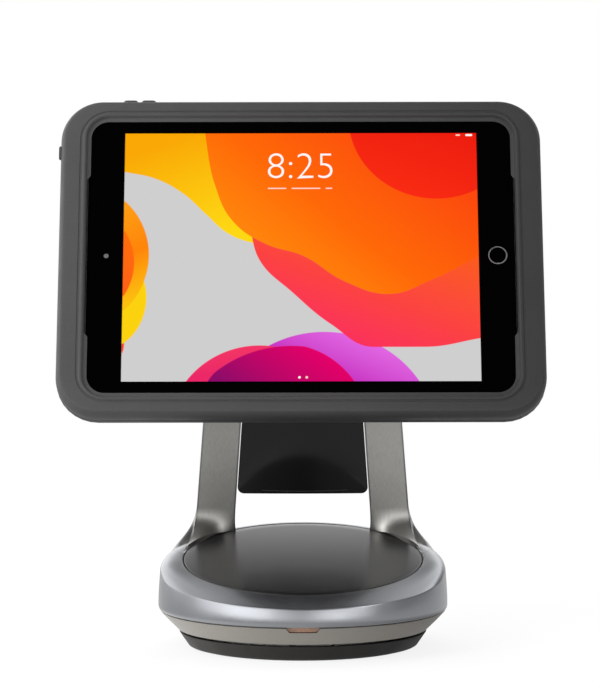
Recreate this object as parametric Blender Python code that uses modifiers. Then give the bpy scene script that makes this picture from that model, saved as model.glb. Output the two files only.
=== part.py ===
"""Counter tablet stand, at rest: a cased tablet held on two arms above a swivelling round base.

Metres, +Z up. The origin is the centre of the rubber pad's underside and the user stands at -Y.
"""

import math

import bmesh
import bpy
from mathutils import Matrix, Vector

# Clearances
GAP = 0.0003
CUT_EXTRA = 0.002

# Fixed foot
PAD_RADIUS = 0.0640
PAD_HEIGHT = 0.0015
FOOT_BOTTOM_Z = 0.0008
FOOT_BOTTOM_RADIUS = 0.0670
FOOT_TOP_Z = 0.0092
FOOT_TOP_RADIUS = 0.0724
FOOT_WALL = 0.0022
BALLAST_RADIUS = 0.0636
BALLAST_THICKNESS = 0.0050

# Swivel
SKIRT_BOTTOM_Z = 0.0104
SKIRT_BOTTOM_RADIUS = 0.0735
BAND_BOTTOM_Z = 0.0213
BAND_BOTTOM_RADIUS = 0.0839
SKIRT_WALL = 0.0022
TURNTABLE_Z = 0.0167
TURNTABLE_THICKNESS = 0.0030
TURNTABLE_RADIUS = 0.0755
POST_RADIUS = 0.0090
POST_BORE = 0.0060
BALL_RADIUS = 0.0016
BALL_CIRCLE = 0.0400
BALL_COUNT = 12
STOP_CIRCLE = 0.0540

# Ring shell and disc, whose top slopes down towards the user
DISC_RADIUS = 0.0698
DISC_THICKNESS = 0.0030
DISC_SEAM = 0.0006
DISC_CROWN = 0.0010
DECK_HEIGHT = 0.0510
DECK_SLOPE = math.radians(10.4)
CREASE_HEIGHT = 0.0435
CREASE_SLOPE = math.radians(7.8)
CREASE_RADIUS = 0.0838
BAND_RADIUS = 0.0848
BAND_WIDEST_Z = 0.0243
RING_WALL = 0.0026
SEAT_WIDTH = 0.0044
RING_STEPS = 72

# Front slot and its light
SLOT_TOP_WIDTH = 0.0209
SLOT_BOTTOM_WIDTH = 0.0156
SLOT_HEIGHT = 0.0030

# Arms and the neck between them
ARM_FIRST = math.radians(125.0)
ARM_LAST = math.radians(160.0)
ARM_TIP = math.radians(172.0)
ARM_ACROSS = 7
ARM_LIFT = 0.0004
ARM_KNEE_RISE = 0.0030
ARM_SHOULDER_PULL = 0.026
ARM_LEAN = math.radians(13.0)
ARM_HALF_THICKNESS = 0.0062
ARM_FACE_THICKNESS = 0.0012
ARM_FACE_INSET = 0.0010
PIVOT_HEIGHT = 0.2000
PIVOT_SETBACK = 0.0280
ARM_INNER_AT_PIVOT = 0.0316
ARM_OUTER_AT_PIVOT = 0.0536
ARM_INNER_SPREAD = 0.0694
ARM_OUTER_SPREAD = 0.0800
ARM_STRAIGHT_FROM = -0.1260
NECK_BOTTOM = -0.1180
NECK_TOP = -0.0140
NECK_BULGE_RADIUS = 0.1470
NECK_SHEET = 0.0024
NECK_CORNER = 0.0042
NECK_MIDDLE = -0.0660
NECK_EXTRA_LEAN = 0.0260
NECK_HEM_LIFT = 0.30
NECK_HEM_REACH = 0.0200

# Tilt hinge and head
HEAD_TILT = math.radians(23.5)
TABLET_ASIDE = -0.0008
TABLET_AHEAD = 0.0370
TABLET_RAISE = 0.0150
AXLE_RADIUS = 0.0030
KNUCKLE_RADIUS = 0.0090
KNUCKLE_INNER = 0.0123
KNUCKLE_OUTER = 0.0278

# Tablet
TABLET_WIDTH = 0.2506
TABLET_HEIGHT = 0.1741
TABLET_THICKNESS = 0.0075
TABLET_CORNER = 0.0080
DISPLAY_WIDTH = 0.2078
DISPLAY_HEIGHT = 0.1559
GLASS_THICKNESS = 0.0010
HOME_BUTTON_X = 0.1149
FRONT_CAMERA_X = -0.1138

# Case
CASE_WIDTH = 0.2836
CASE_HEIGHT = 0.1980
CASE_CORNER = 0.0250
CASE_FRONT = -0.0025
CASE_BEAD = 0.0005
CASE_RIM = ((0, 0.0036), (0.0007, 0.0004), (0.0014, -0.0010), (0.0023, -0.0022), (0.0033, CASE_FRONT))
CASE_SPLIT = 0.0080
CASE_BACK = 0.0155
OPENING_WIDTH = 0.2475
OPENING_HEIGHT = 0.1701
OPENING_CORNER = 0.0105
BUTTON_LENGTH = 0.0086
BUTTON_WIDTH = 0.0042
BUTTON_STAND_OUT = 0.0012
VOLUME_BUTTONS_X = (-0.1010, -0.0903)
POWER_BUTTON_Z = 0.0668


# ---------------------------------------------------------------- scene and materials


def clear_scene():
    for thing in list(bpy.data.objects):
        bpy.data.objects.remove(thing, do_unlink=True)


def new_collection(name):
    made = bpy.data.collections.new(name)
    bpy.context.scene.collection.children.link(made)
    return made


def material(name, colour, roughness, metallic=0.0):
    made = bpy.data.materials.new(name)
    made.use_nodes = True
    shader = made.node_tree.nodes["Principled BSDF"]
    shader.inputs["Base Color"].default_value = (*colour, 1.0)
    shader.inputs["Roughness"].default_value = roughness
    shader.inputs["Metallic"].default_value = metallic
    return made


def empty(name, matrix, parent=None):
    made = bpy.data.objects.new(name, None)
    made.empty_display_size = 0.02
    STAND.objects.link(made)
    made.parent = parent
    made.matrix_world = matrix
    bpy.context.view_layer.update()
    return made


# ---------------------------------------------------------------- solids


def add(name, mesh, parent, surface, local=Matrix.Identity(4)):
    """An object in the stand's collection, its mesh given in the frame of its parent empty."""
    made = bpy.data.objects.new(name, mesh)
    mesh.name = name
    mesh.materials.clear()
    mesh.materials.append(surface)
    STAND.objects.link(made)
    made.parent = parent
    made.matrix_local = local
    bpy.context.view_layer.update()
    return made


def mesh_from(bm):
    bmesh.ops.recalc_face_normals(bm, faces=bm.faces)
    mesh = bpy.data.meshes.new("piece")
    bm.to_mesh(mesh)
    bm.free()
    return mesh


def smooth(thing, angle=32.0):
    thing.data.shade_smooth()
    thing.data.set_sharp_from_angle(angle=math.radians(angle))
    return thing


def baked(thing):
    """Replaces an object's mesh with what its modifiers make of it."""
    bpy.context.view_layer.update()
    graph = bpy.context.evaluated_depsgraph_get()
    made = bpy.data.meshes.new_from_object(thing.evaluated_get(graph))
    thing.modifiers.clear()
    thing.data = made
    made.name = thing.name
    return thing


def combine(target, operation, others):
    """Cuts or joins other objects into a target, then removes them."""
    for other in others:
        step = target.modifiers.new(operation.lower(), "BOOLEAN")
        step.operation = operation
        step.solver = "EXACT"
        step.object = other
        baked(target)
        bpy.data.objects.remove(other, do_unlink=True)
    return target


def carve(target, *cutters):
    return combine(target, "DIFFERENCE", cutters)


def join(target, *others):
    return combine(target, "UNION", others)


def block(name, low, high, parent, surface):
    """A box between two corners."""
    low = Vector(low)
    high = Vector(high)
    bm = bmesh.new()
    bmesh.ops.create_cube(bm, size=1.0)
    bmesh.ops.scale(bm, vec=high - low, verts=bm.verts)
    bmesh.ops.translate(bm, vec=(low + high) / 2, verts=bm.verts)
    return add(name, mesh_from(bm), parent, surface)


def along(axis):
    """The turn that takes a cylinder made along Z to lie along the named axis."""
    turns = {"X": Matrix.Rotation(math.pi / 2, 4, "Y"), "Y": Matrix.Rotation(-math.pi / 2, 4, "X")}
    return turns.get(axis, Matrix.Identity(4))


def rod(name, radius, start, length, parent, surface, axis="Z", sides=24):
    """A cylinder from a start point along an axis."""
    bm = bmesh.new()
    bmesh.ops.create_cone(
        bm, cap_ends=True, segments=sides, radius1=radius, radius2=radius, depth=length
    )
    bmesh.ops.translate(bm, vec=(0, 0, length / 2), verts=bm.verts)
    bmesh.ops.transform(bm, matrix=Matrix.Translation(start) @ along(axis), verts=bm.verts)
    return smooth(add(name, mesh_from(bm), parent, surface))


def turned(name, profile, parent, surface, steps=48, local=Matrix.Identity(4), angle=32.0):
    """A profile of (radius, height) points, closed unless it meets the axis, spun about Z."""
    bm = bmesh.new()
    points = [bm.verts.new((radius, 0, height)) for radius, height in profile]
    on_axis = profile[0][0] == 0 and profile[-1][0] == 0
    for first, second in zip(points, points[1:]):
        bm.edges.new((first, second))
    if not on_axis:
        bm.edges.new((points[-1], points[0]))
    mesh = bpy.data.meshes.new(name)
    bm.to_mesh(mesh)
    bm.free()
    made = add(name, mesh, parent, surface, local)
    spin = made.modifiers.new("spin", "SCREW")
    spin.steps = steps
    spin.render_steps = steps
    spin.use_merge_vertices = True
    spin.merge_threshold = 0.00001
    baked(made)
    return smooth(made, angle)


def tube(name, inner, outer, start, length, parent, surface, axis="Z", sides=24):
    """A plain ring or sleeve from a start point along an axis."""
    profile = [(outer, length), (outer, 0), (inner, 0), (inner, length)]
    place = Matrix.Translation(start) @ along(axis)
    return turned(name, profile, parent, surface, sides, place)


def loft(rings, cap_ends=True, closed_run=False):
    """Faces between rings of equally many points; the run of rings is capped, or closes on itself."""
    bm = bmesh.new()
    rows = [[bm.verts.new(point) for point in ring] for ring in rings]
    count = len(rows[0])
    pairs = list(zip(rows, rows[1:]))
    if closed_run:
        pairs.append((rows[-1], rows[0]))
    for lower, upper in pairs:
        for k in range(count):
            after = (k + 1) % count
            bm.faces.new((lower[k], lower[after], upper[after], upper[k]))
    if cap_ends and not closed_run:
        bm.faces.new(rows[0])
        bm.faces.new(rows[-1])
    return mesh_from(bm)


def rounded_rectangle(half_width, half_height, radius, depth, corner_steps=8):
    """Points of a rounded rectangle in a plane of constant depth, seen from the front."""
    points = []
    for quarter, (side_x, side_z) in enumerate(((1, 1), (-1, 1), (-1, -1), (1, -1))):
        centre_x = side_x * (half_width - radius)
        centre_z = side_z * (half_height - radius)
        for step in range(corner_steps + 1):
            turn = math.pi / 2 * (quarter + step / corner_steps)
            points.append(
                (centre_x + radius * math.cos(turn), depth, centre_z + radius * math.sin(turn))
            )
    return points


def slab(name, width, height, radius, front, back, parent, surface, edge=0.0, corner_steps=6):
    """A rounded rectangular plate that faces Y, its rims bevelled by edge."""
    rings = []
    half_width = width / 2
    half_height = height / 2
    if edge:
        rings.append((half_width - edge, half_height - edge, radius - edge, front))
        rings.append((half_width, half_height, radius, front + edge))
        rings.append((half_width, half_height, radius, back - edge))
        rings.append((half_width - edge, half_height - edge, radius - edge, back))
    else:
        rings.append((half_width, half_height, radius, front))
        rings.append((half_width, half_height, radius, back))
    outlines = [rounded_rectangle(*ring, corner_steps) for ring in rings]
    return smooth(add(name, loft(outlines), parent, surface))


def screw_at(name, place, head_radius, head_height, shank_radius, length, parent, axis):
    """A pan-head screw whose shank starts at a place and whose head stands on the far side of it."""
    profile = [
        (0, head_height),
        (head_radius * 0.75, head_height),
        (head_radius, head_height * 0.55),
        (head_radius, 0),
        (shank_radius, 0),
        (shank_radius, -length),
        (0, -length),
    ]
    return turned(
        name, profile, parent, STEEL, 12, Matrix.Translation(place) @ along(axis), angle=25
    )


# ---------------------------------------------------------------- foot and swivel


def make_foot():
    floor = PAD_HEIGHT + GAP
    floor_top = floor + 0.0018
    inner_top = FOOT_TOP_RADIUS - FOOT_WALL
    inner_floor = BALLAST_RADIUS + GAP
    turned(
        "rubber_pad",
        [
            (0, PAD_HEIGHT),
            (PAD_RADIUS - 0.0004, PAD_HEIGHT),
            (PAD_RADIUS, 0.0004),
            (PAD_RADIUS - 0.0004, 0),
            (0, 0),
        ],
        BASE, RUBBER, RING_STEPS,
    )
    foot = turned(
        "foot_shell",
        [
            (inner_top, FOOT_TOP_Z),
            (FOOT_TOP_RADIUS - 0.0005, FOOT_TOP_Z),
            (FOOT_TOP_RADIUS, FOOT_TOP_Z - 0.0005),
            (FOOT_BOTTOM_RADIUS + 0.0004, FOOT_BOTTOM_Z + 0.0004),
            (FOOT_BOTTOM_RADIUS, FOOT_BOTTOM_Z),
            (PAD_RADIUS + GAP, FOOT_BOTTOM_Z),
            (PAD_RADIUS + GAP, floor),
            (0.0100, floor),
            (0.0100, floor_top),
            (inner_floor, floor_top),
        ],
        BASE, DARK_PAINT, RING_STEPS,
    )
    ballast_top = floor_top + GAP + BALLAST_THICKNESS
    ballast = turned(
        "ballast_plate",
        [
            (0.0070, ballast_top),
            (BALLAST_RADIUS, ballast_top),
            (BALLAST_RADIUS, floor_top + GAP),
            (0.0070, floor_top + GAP),
        ],
        BASE, STEEL, 48,
    )
    inlet_half = Vector((0.0050, 0.0080, 0.0019))
    inlet_at = Vector((0, FOOT_TOP_RADIUS - 0.0092, 0.0062))
    opening = block(
        "cut", inlet_at - inlet_half - Vector((GAP, 0, GAP)),
        inlet_at + inlet_half + Vector((GAP, CUT_EXTRA, GAP)), BASE, STEEL,
    )
    notch = block(
        "cut", inlet_at - inlet_half - Vector((GAP, GAP, GAP)),
        inlet_at + inlet_half + Vector((GAP, CUT_EXTRA, 0.010)), BASE, STEEL,
    )
    carve(foot, opening)
    carve(ballast, notch)
    inlet = block("power_inlet", inlet_at - inlet_half, inlet_at + inlet_half, BASE, BLACK_PLASTIC)
    mouth = block(
        "cut", inlet_at + Vector((-0.0040, 0.0020, -0.0012)),
        inlet_at + Vector((0.0040, 0.0100, 0.0012)), BASE, STEEL,
    )
    carve(inlet, mouth)
    return ballast_top


def make_swivel(ballast_top):
    race_top = ballast_top + GAP + 0.0014
    ball_z = race_top + GAP + BALL_RADIUS
    race_half = 0.0045
    tube(
        "bearing_lower_race", BALL_CIRCLE - race_half, BALL_CIRCLE + race_half,
        (0, 0, ballast_top + GAP), 0.0014, BASE, STEEL, sides=32,
    )

    cage_half = 0.0011
    cage = tube(
        "ball_cage", BALL_CIRCLE - 0.0024, BALL_CIRCLE + 0.0024, (0, 0, ball_z - cage_half / 2),
        cage_half, SWIVEL, STEEL, sides=24,
    )
    for k in range(BALL_COUNT):
        turn = 2 * math.pi * k / BALL_COUNT
        bm = bmesh.new()
        bmesh.ops.create_icosphere(bm, subdivisions=1, radius=BALL_RADIUS)
        place = (BALL_CIRCLE * math.cos(turn), BALL_CIRCLE * math.sin(turn), ball_z)
        bmesh.ops.translate(bm, vec=place, verts=bm.verts)
        join(cage, add("ball", mesh_from(bm), SWIVEL, STEEL))
    upper_start = ball_z + BALL_RADIUS + GAP
    tube(
        "bearing_upper_race", BALL_CIRCLE - race_half, BALL_CIRCLE + race_half,
        (0, 0, upper_start), TURNTABLE_Z - GAP - upper_start, SWIVEL, STEEL, sides=32,
    )
    turntable_top = TURNTABLE_Z + TURNTABLE_THICKNESS
    bush_outer = POST_RADIUS + GAP + 0.0020
    turntable = turned(
        "turntable_plate",
        [
            (bush_outer + GAP, turntable_top),
            (TURNTABLE_RADIUS, turntable_top),
            (TURNTABLE_RADIUS, TURNTABLE_Z),
            (bush_outer + GAP, TURNTABLE_Z),
        ],
        SWIVEL, CAST_METAL, 48,
    )
    stop_tab = block(
        "tab", (-0.0030, STOP_CIRCLE - 0.0030, ballast_top + 0.0026),
        (0.0030, STOP_CIRCLE + 0.0030, TURNTABLE_Z + 0.0010), SWIVEL, STEEL,
    )
    join(turntable, stop_tab)
    rod("stop_pin", 0.0025, (0, -STOP_CIRCLE, ballast_top + GAP), 0.0048, BASE, STEEL, sides=24)
    post_top = turntable_top + 0.0115
    turned(
        "swivel_post",
        [
            (POST_BORE, post_top),
            (POST_RADIUS - 0.0005, post_top),
            (POST_RADIUS, post_top - 0.0005),
            (POST_RADIUS, ballast_top + GAP + 0.0020),
            (0.0160, ballast_top + GAP + 0.0020),
            (0.0160, ballast_top + GAP),
            (POST_BORE, ballast_top + GAP),
        ],
        BASE, STEEL, 24,
    )
    turned(
        "post_bush",
        [
            (POST_RADIUS + GAP, turntable_top + 0.0015),
            (0.0150, turntable_top + 0.0015),
            (0.0150, turntable_top + GAP),
            (bush_outer, turntable_top + GAP),
            (bush_outer, TURNTABLE_Z),
            (POST_RADIUS + GAP, TURNTABLE_Z),
        ],
        SWIVEL, WHITE_PLASTIC, 24,
    )
    washer_z = turntable_top + 0.0015 + GAP
    tube("friction_spring", POST_RADIUS + GAP, 0.0145, (0, 0, washer_z), 0.0012, BASE, STEEL, sides=32)
    nut_z = washer_z + 0.0012 + GAP
    nut = rod("post_nut", 0.0150, (0, 0, nut_z), 0.0050, BASE, STEEL, sides=6)
    carve(nut, rod("cut", POST_RADIUS + GAP, (0, 0, nut_z - CUT_EXTRA), 0.010, BASE, STEEL, sides=32))


def make_skirt():
    """The tapered skirt under the ring, with the slot in its front and what sits behind it."""
    top_z = BAND_BOTTOM_Z
    top_radius = BAND_BOTTOM_RADIUS - 0.0004
    skirt = turned(
        "lower_skirt",
        [
            (top_radius - SKIRT_WALL - 0.0012, top_z),
            (top_radius, top_z),
            (SKIRT_BOTTOM_RADIUS, SKIRT_BOTTOM_Z + 0.0004),
            (SKIRT_BOTTOM_RADIUS - 0.0005, SKIRT_BOTTOM_Z),
            (SKIRT_BOTTOM_RADIUS - SKIRT_WALL, SKIRT_BOTTOM_Z),
            (SKIRT_BOTTOM_RADIUS - SKIRT_WALL, SKIRT_BOTTOM_Z + 0.0010),
            (TURNTABLE_RADIUS + GAP, TURNTABLE_Z - 0.0010),
            (TURNTABLE_RADIUS + GAP, TURNTABLE_Z + TURNTABLE_THICKNESS),
        ],
        SWIVEL, WARM_METAL, RING_STEPS,
    )
    slot_front = -(BAND_BOTTOM_RADIUS + CUT_EXTRA)
    slot_back = -(TURNTABLE_RADIUS - 0.0010)

    def slot_section(depth, spare):
        top = SLOT_TOP_WIDTH / 2 + spare
        bottom = SLOT_BOTTOM_WIDTH / 2 + spare
        low = top_z - SLOT_HEIGHT - spare
        high = top_z + spare
        return [(-bottom, depth, low), (bottom, depth, low), (top, depth, high), (-top, depth, high)]

    mouth = loft([slot_section(slot_front, 0), slot_section(slot_back, 0)])
    carve(skirt, add("cut", mouth, SWIVEL, STEEL))
    smooth(skirt)
    light_front = -(TURNTABLE_RADIUS + 0.0032)
    light_back = -(TURNTABLE_RADIUS + GAP)
    lens = loft([slot_section(light_front, -GAP), slot_section(light_back, -GAP)])
    add("status_light", lens, SWIVEL, AMBER)
    board_z = TURNTABLE_Z + TURNTABLE_THICKNESS + GAP
    board = block(
        "control_board", (-0.020, -0.068, board_z), (0.020, -0.042, board_z + 0.0016), SWIVEL, GREEN_BOARD
    )
    chip_z = board_z + 0.0010
    chips = (
        block("chip", (-0.014, -0.060, chip_z), (-0.004, -0.050, board_z + 0.0030), SWIVEL, GREEN_BOARD),
        block("chip", (0.004, -0.063, chip_z), (0.012, -0.047, board_z + 0.0026), SWIVEL, GREEN_BOARD),
    )
    join(board, *chips)


# ---------------------------------------------------------------- ring and disc


def deck_point(radius, azimuth, below=0.0):
    """A point of a circle in the sloping deck plane, or a set depth below it."""
    flat = Vector((radius * math.cos(azimuth), radius * math.sin(azimuth), -below))
    return Matrix.Translation((0, 0, DECK_HEIGHT)) @ Matrix.Rotation(DECK_SLOPE, 4, "X") @ flat


def crease_point(azimuth):
    """The corner between the ring's top and its upright band."""
    x = CREASE_RADIUS * math.cos(azimuth)
    y = CREASE_RADIUS * math.sin(azimuth)
    return Vector((x, y, CREASE_HEIGHT + y * math.tan(CREASE_SLOPE)))


def ease(value):
    value = min(max(value, 0.0), 1.0)
    return value * value * (3 - 2 * value)


def ring_top(azimuth, share):
    """The ring's top from the disc's rim (share 0) to the crease (share 1).

    It is a nearly straight slope at the front, and swells into a round shoulder at the sides and rear.
    """
    start = deck_point(DISC_RADIUS + DISC_SEAM, azimuth)
    end = crease_point(azimuth)
    outward = (deck_point(1.0, azimuth) - deck_point(0.0, azimuth)).normalized()
    frontness = -math.sin(azimuth)
    roundness = ease((0.80 - frontness) / 0.75)
    flat_one = start.lerp(end, 1 / 3) + Vector((0, 0, 0.0005))
    flat_two = start.lerp(end, 2 / 3) + Vector((0, 0, 0.0005))
    round_one = start + outward * 0.0078
    round_two = end + Vector((0, 0, 0.0066))
    one = flat_one.lerp(round_one, roundness)
    two = flat_two.lerp(round_two, roundness)
    rest = 1 - share
    return start * rest**3 + one * 3 * rest**2 * share + two * 3 * rest * share**2 + end * share**3


TOP_STEPS = 6


def ring_section(azimuth):
    """The closed outline of the ring's wall at one azimuth."""
    across = Vector((math.cos(azimuth), math.sin(azimuth), 0))

    def level(radius, height):
        return across * radius + Vector((0, 0, height))

    crease = crease_point(azimuth)
    outer = [ring_top(azimuth, k / TOP_STEPS) for k in range(TOP_STEPS + 1)]
    for share in (0.35, 0.70):
        height = crease.z + (BAND_WIDEST_Z - crease.z) * share
        swell = math.sin(share * math.pi / 2)
        outer.append(level(CREASE_RADIUS + (BAND_RADIUS - CREASE_RADIUS) * swell, height))
    outer.append(level(BAND_RADIUS, BAND_WIDEST_Z))
    outer.append(level(BAND_BOTTOM_RADIUS, BAND_BOTTOM_Z + GAP))
    inside = BAND_BOTTOM_RADIUS - RING_WALL
    middle = ring_top(azimuth, 0.5)
    inner = [
        level(inside, BAND_BOTTOM_Z + GAP),
        level(inside, crease.z - 0.0016),
        middle - Vector((0, 0, RING_WALL)) - across * 0.0012,
        deck_point(DISC_RADIUS - SEAT_WIDTH, azimuth, DISC_THICKNESS + GAP + RING_WALL),
        deck_point(DISC_RADIUS - SEAT_WIDTH, azimuth, DISC_THICKNESS + GAP),
        deck_point(DISC_RADIUS + DISC_SEAM, azimuth, DISC_THICKNESS + GAP),
    ]
    return outer + inner


def ring_azimuth(step):
    return 2 * math.pi * step / RING_STEPS


def make_ring():
    sections = [ring_section(ring_azimuth(step)) for step in range(RING_STEPS)]
    ring = add("ring_shell", loft(sections, closed_run=True), SWIVEL, SILVER)
    smooth(ring, 24)
    edge = 0.0005
    crown = [(DISC_RADIUS * part, DISC_CROWN * (1 - part**2)) for part in (0, 0.3, 0.55, 0.8)]
    rim = [(DISC_RADIUS - edge, 0), (DISC_RADIUS, -edge), (DISC_RADIUS, -DISC_THICKNESS)]
    turned(
        "disc_cover", crown + rim + [(0, -DISC_THICKNESS)], SWIVEL, BLACK_SATIN, RING_STEPS,
        Matrix.Translation((0, 0, DECK_HEIGHT)) @ Matrix.Rotation(DECK_SLOPE, 4, "X"),
    )


# ---------------------------------------------------------------- arms


def arm_inner(height):
    """Half the gap between the arms at a height along the neck, which is negative below the pivot."""
    return ARM_INNER_AT_PIVOT - height * ARM_INNER_SPREAD


def arm_outer(height):
    return ARM_OUTER_AT_PIVOT - height * ARM_OUTER_SPREAD


def arm_outline(height, half_thickness):
    """The left arm's section at a height along the neck: front face, outer side, back, inner side."""
    inner = -arm_inner(height)
    outer = -arm_outer(height)
    round_off = min(0.0022, half_thickness * 0.6)
    shares = [j / ARM_ACROSS for j in range(ARM_ACROSS + 1)]
    front = [(inner + (outer - inner) * share, -half_thickness) for share in shares]
    back_width = outer - inner + 2 * round_off
    back = [(inner - round_off + back_width * share, half_thickness) for share in shares]
    span = 2 * half_thickness - round_off
    side = (0.33, 0.66, 1.0)
    outer_side = [(outer, -half_thickness + span * share) for share in side]
    inner_side = [(inner, -half_thickness + span * share) for share in side]
    outer_side.append((outer + round_off * 0.3, half_thickness - round_off * 0.3))
    inner_side.append((inner - round_off * 0.3, half_thickness - round_off * 0.3))
    outline = front + outer_side + back[::-1] + inner_side[::-1]
    return [NECK_FRAME @ Vector((x, y, height)) for x, y in outline]


FOOT_SHARES = [k / TOP_STEPS for k in range(TOP_STEPS)]


def foot_azimuth(column, share):
    """The azimuth of one of the arm's columns where it stands on the ring.

    The arm's inner side stands at one azimuth. Its outer side sweeps forward towards the disc's rim.
    """
    outer = ARM_TIP + (ARM_LAST - ARM_TIP) * share / FOOT_SHARES[-1]
    return ARM_FIRST + (outer - ARM_FIRST) * column / ARM_ACROSS


def foot_outline():
    """Where the left arm stands, as (azimuth, share of the ring's top), in the order of its section."""
    columns = range(ARM_ACROSS + 1)
    deepest = FOOT_SHARES[-1]
    walk = [(foot_azimuth(column, 0.0), 0.0) for column in columns]
    walk += [(foot_azimuth(ARM_ACROSS, share), share) for share in FOOT_SHARES[1:-1]]
    walk += [(foot_azimuth(column, deepest), deepest) for column in reversed(columns)]
    walk += [(ARM_FIRST, share) for share in reversed(FOOT_SHARES[1:-1])]
    return walk


def hermite(start, start_pull, end, end_pull, share):
    cube = share**3
    square = share**2
    return (
        start * (2 * cube - 3 * square + 1)
        + start_pull * (cube - 2 * square + share)
        + end * (3 * square - 2 * cube)
        + end_pull * (cube - square)
    )


def arm_line(azimuth, share, top, along):
    """One of the arm's lengthwise lines, from the ring up to the straight part, as a function of 0 to 1."""
    foot = ring_top(azimuth, share) + Vector((0, 0, ARM_LIFT))
    drop = (top.z - foot.z - ARM_KNEE_RISE) / along.z
    knee = top - along * drop
    shoulder = ring_top(azimuth, max(share - 0.02, 0)) - ring_top(azimuth, share + 0.02)
    behind = ease(share / FOOT_SHARES[-1])
    first_pull = (2 * (knee - foot)).lerp(shoulder.normalized() * ARM_SHOULDER_PULL, behind)
    return lambda part: hermite(foot, first_pull, top, along * 2 * drop, part)


def arm_levels():
    """The left arm's sections from the ring to its round top end."""
    top = arm_outline(ARM_STRAIGHT_FROM, ARM_HALF_THICKNESS)
    above = arm_outline(ARM_STRAIGHT_FROM + 0.001, ARM_HALF_THICKNESS)
    lines = [
        arm_line(azimuth, share, point, (after - point).normalized())
        for (azimuth, share), point, after in zip(foot_outline(), top, above)
    ]
    flare_steps = 10
    levels = [[line(step / flare_steps) for line in lines] for step in range(flare_steps)]
    straight_steps = 3
    for step in range(straight_steps + 1):
        height = ARM_STRAIGHT_FROM * (1 - step / straight_steps)
        levels.append(arm_outline(height, ARM_HALF_THICKNESS))
    for turn in (22.5, 45.0, 67.5, 80.0):
        height = ARM_HALF_THICKNESS * math.sin(math.radians(turn))
        levels.append(arm_outline(height, ARM_HALF_THICKNESS * math.cos(math.radians(turn))))
    return levels


def arm_foot_patch(bm, first_ring):
    """Closes the arm's underside with a sheet that follows the ring beneath it."""
    rows = [first_ring[: ARM_ACROSS + 1]]
    count = len(first_ring)
    deep = TOP_STEPS - 1
    for k in range(1, deep):
        row = [first_ring[count - k]]
        for column in range(1, ARM_ACROSS):
            point = ring_top(foot_azimuth(column, FOOT_SHARES[k]), FOOT_SHARES[k])
            row.append(bm.verts.new(point + Vector((0, 0, ARM_LIFT))))
        row.append(first_ring[ARM_ACROSS + k])
        rows.append(row)
    last = first_ring[ARM_ACROSS + deep : 2 * ARM_ACROSS + deep + 1]
    rows.append(last[::-1])
    for lower, upper in zip(rows, rows[1:]):
        for j in range(ARM_ACROSS):
            bm.faces.new((lower[j], lower[j + 1], upper[j + 1], upper[j]))


def make_arm(name, levels, side):
    """One arm; side is 1 for the left one and -1 for its mirror image."""
    bm = bmesh.new()
    rows = [[bm.verts.new(point) for point in level] for level in levels]
    count = len(rows[0])
    for lower, upper in zip(rows, rows[1:]):
        for k in range(count):
            after = (k + 1) % count
            bm.faces.new((lower[k], lower[after], upper[after], upper[k]))
    arm_foot_patch(bm, rows[0])
    bm.faces.new(rows[-1])
    bmesh.ops.scale(bm, vec=(side, 1, 1), verts=bm.verts)
    arm = add(name, mesh_from(bm), SWIVEL, SILVER)
    carve(arm, rod("cut", AXLE_RADIUS + GAP, PIVOT - Vector((0.08, 0, 0)), 0.16, SWIVEL, STEEL, "X"))
    return smooth(arm, 40)


def make_arm_face(name, levels, side):
    """The thin cover on an arm's front, from just above the ring to just below the arm's top."""
    across = ARM_ACROSS
    straight = [level[: across + 1] for level in levels[:-4]]
    rows = [[a.lerp(b, 0.55) for a, b in zip(straight[0], straight[1])]] + straight[1:]
    grid = []
    for row in rows:
        row = list(row)
        first = row[0] + (row[1] - row[0]).normalized() * ARM_FACE_INSET
        last = row[-1] + (row[-2] - row[-1]).normalized() * ARM_FACE_INSET
        grid.append([first] + row[1:-1] + [last])
    bm = bmesh.new()
    layers = []
    for offset in (GAP, GAP + ARM_FACE_THICKNESS):
        layer = []
        for i, row in enumerate(grid):
            made = []
            for j, point in enumerate(row):
                upward = grid[min(i + 1, len(grid) - 1)][j] - grid[max(i - 1, 0)][j]
                sideways = row[min(j + 1, across)] - row[max(j - 1, 0)]
                normal = upward.cross(sideways).normalized()
                if normal.y > 0:
                    normal.negate()
                made.append(bm.verts.new(point + normal * offset))
            layer.append(made)
        layers.append(layer)
    back, front = layers
    height = len(grid) - 1
    for i in range(height):
        for j in range(across):
            bm.faces.new((front[i][j], front[i][j + 1], front[i + 1][j + 1], front[i + 1][j]))
            bm.faces.new((back[i][j], back[i + 1][j], back[i + 1][j + 1], back[i][j + 1]))
    rim = [(i, 0) for i in range(height)]
    rim += [(height, j) for j in range(across)]
    rim += [(i, across) for i in range(height, 0, -1)]
    rim += [(0, j) for j in range(across, 0, -1)]
    for (i, j), (m, n) in zip(rim, rim[1:] + rim[:1]):
        bm.faces.new((front[i][j], front[m][n], back[m][n], back[i][j]))
    bmesh.ops.scale(bm, vec=(side, 1, 1), verts=bm.verts)
    return smooth(add(name, mesh_from(bm), SWIVEL, FACE_METAL), 40)


# ---------------------------------------------------------------- neck between the arms


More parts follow.
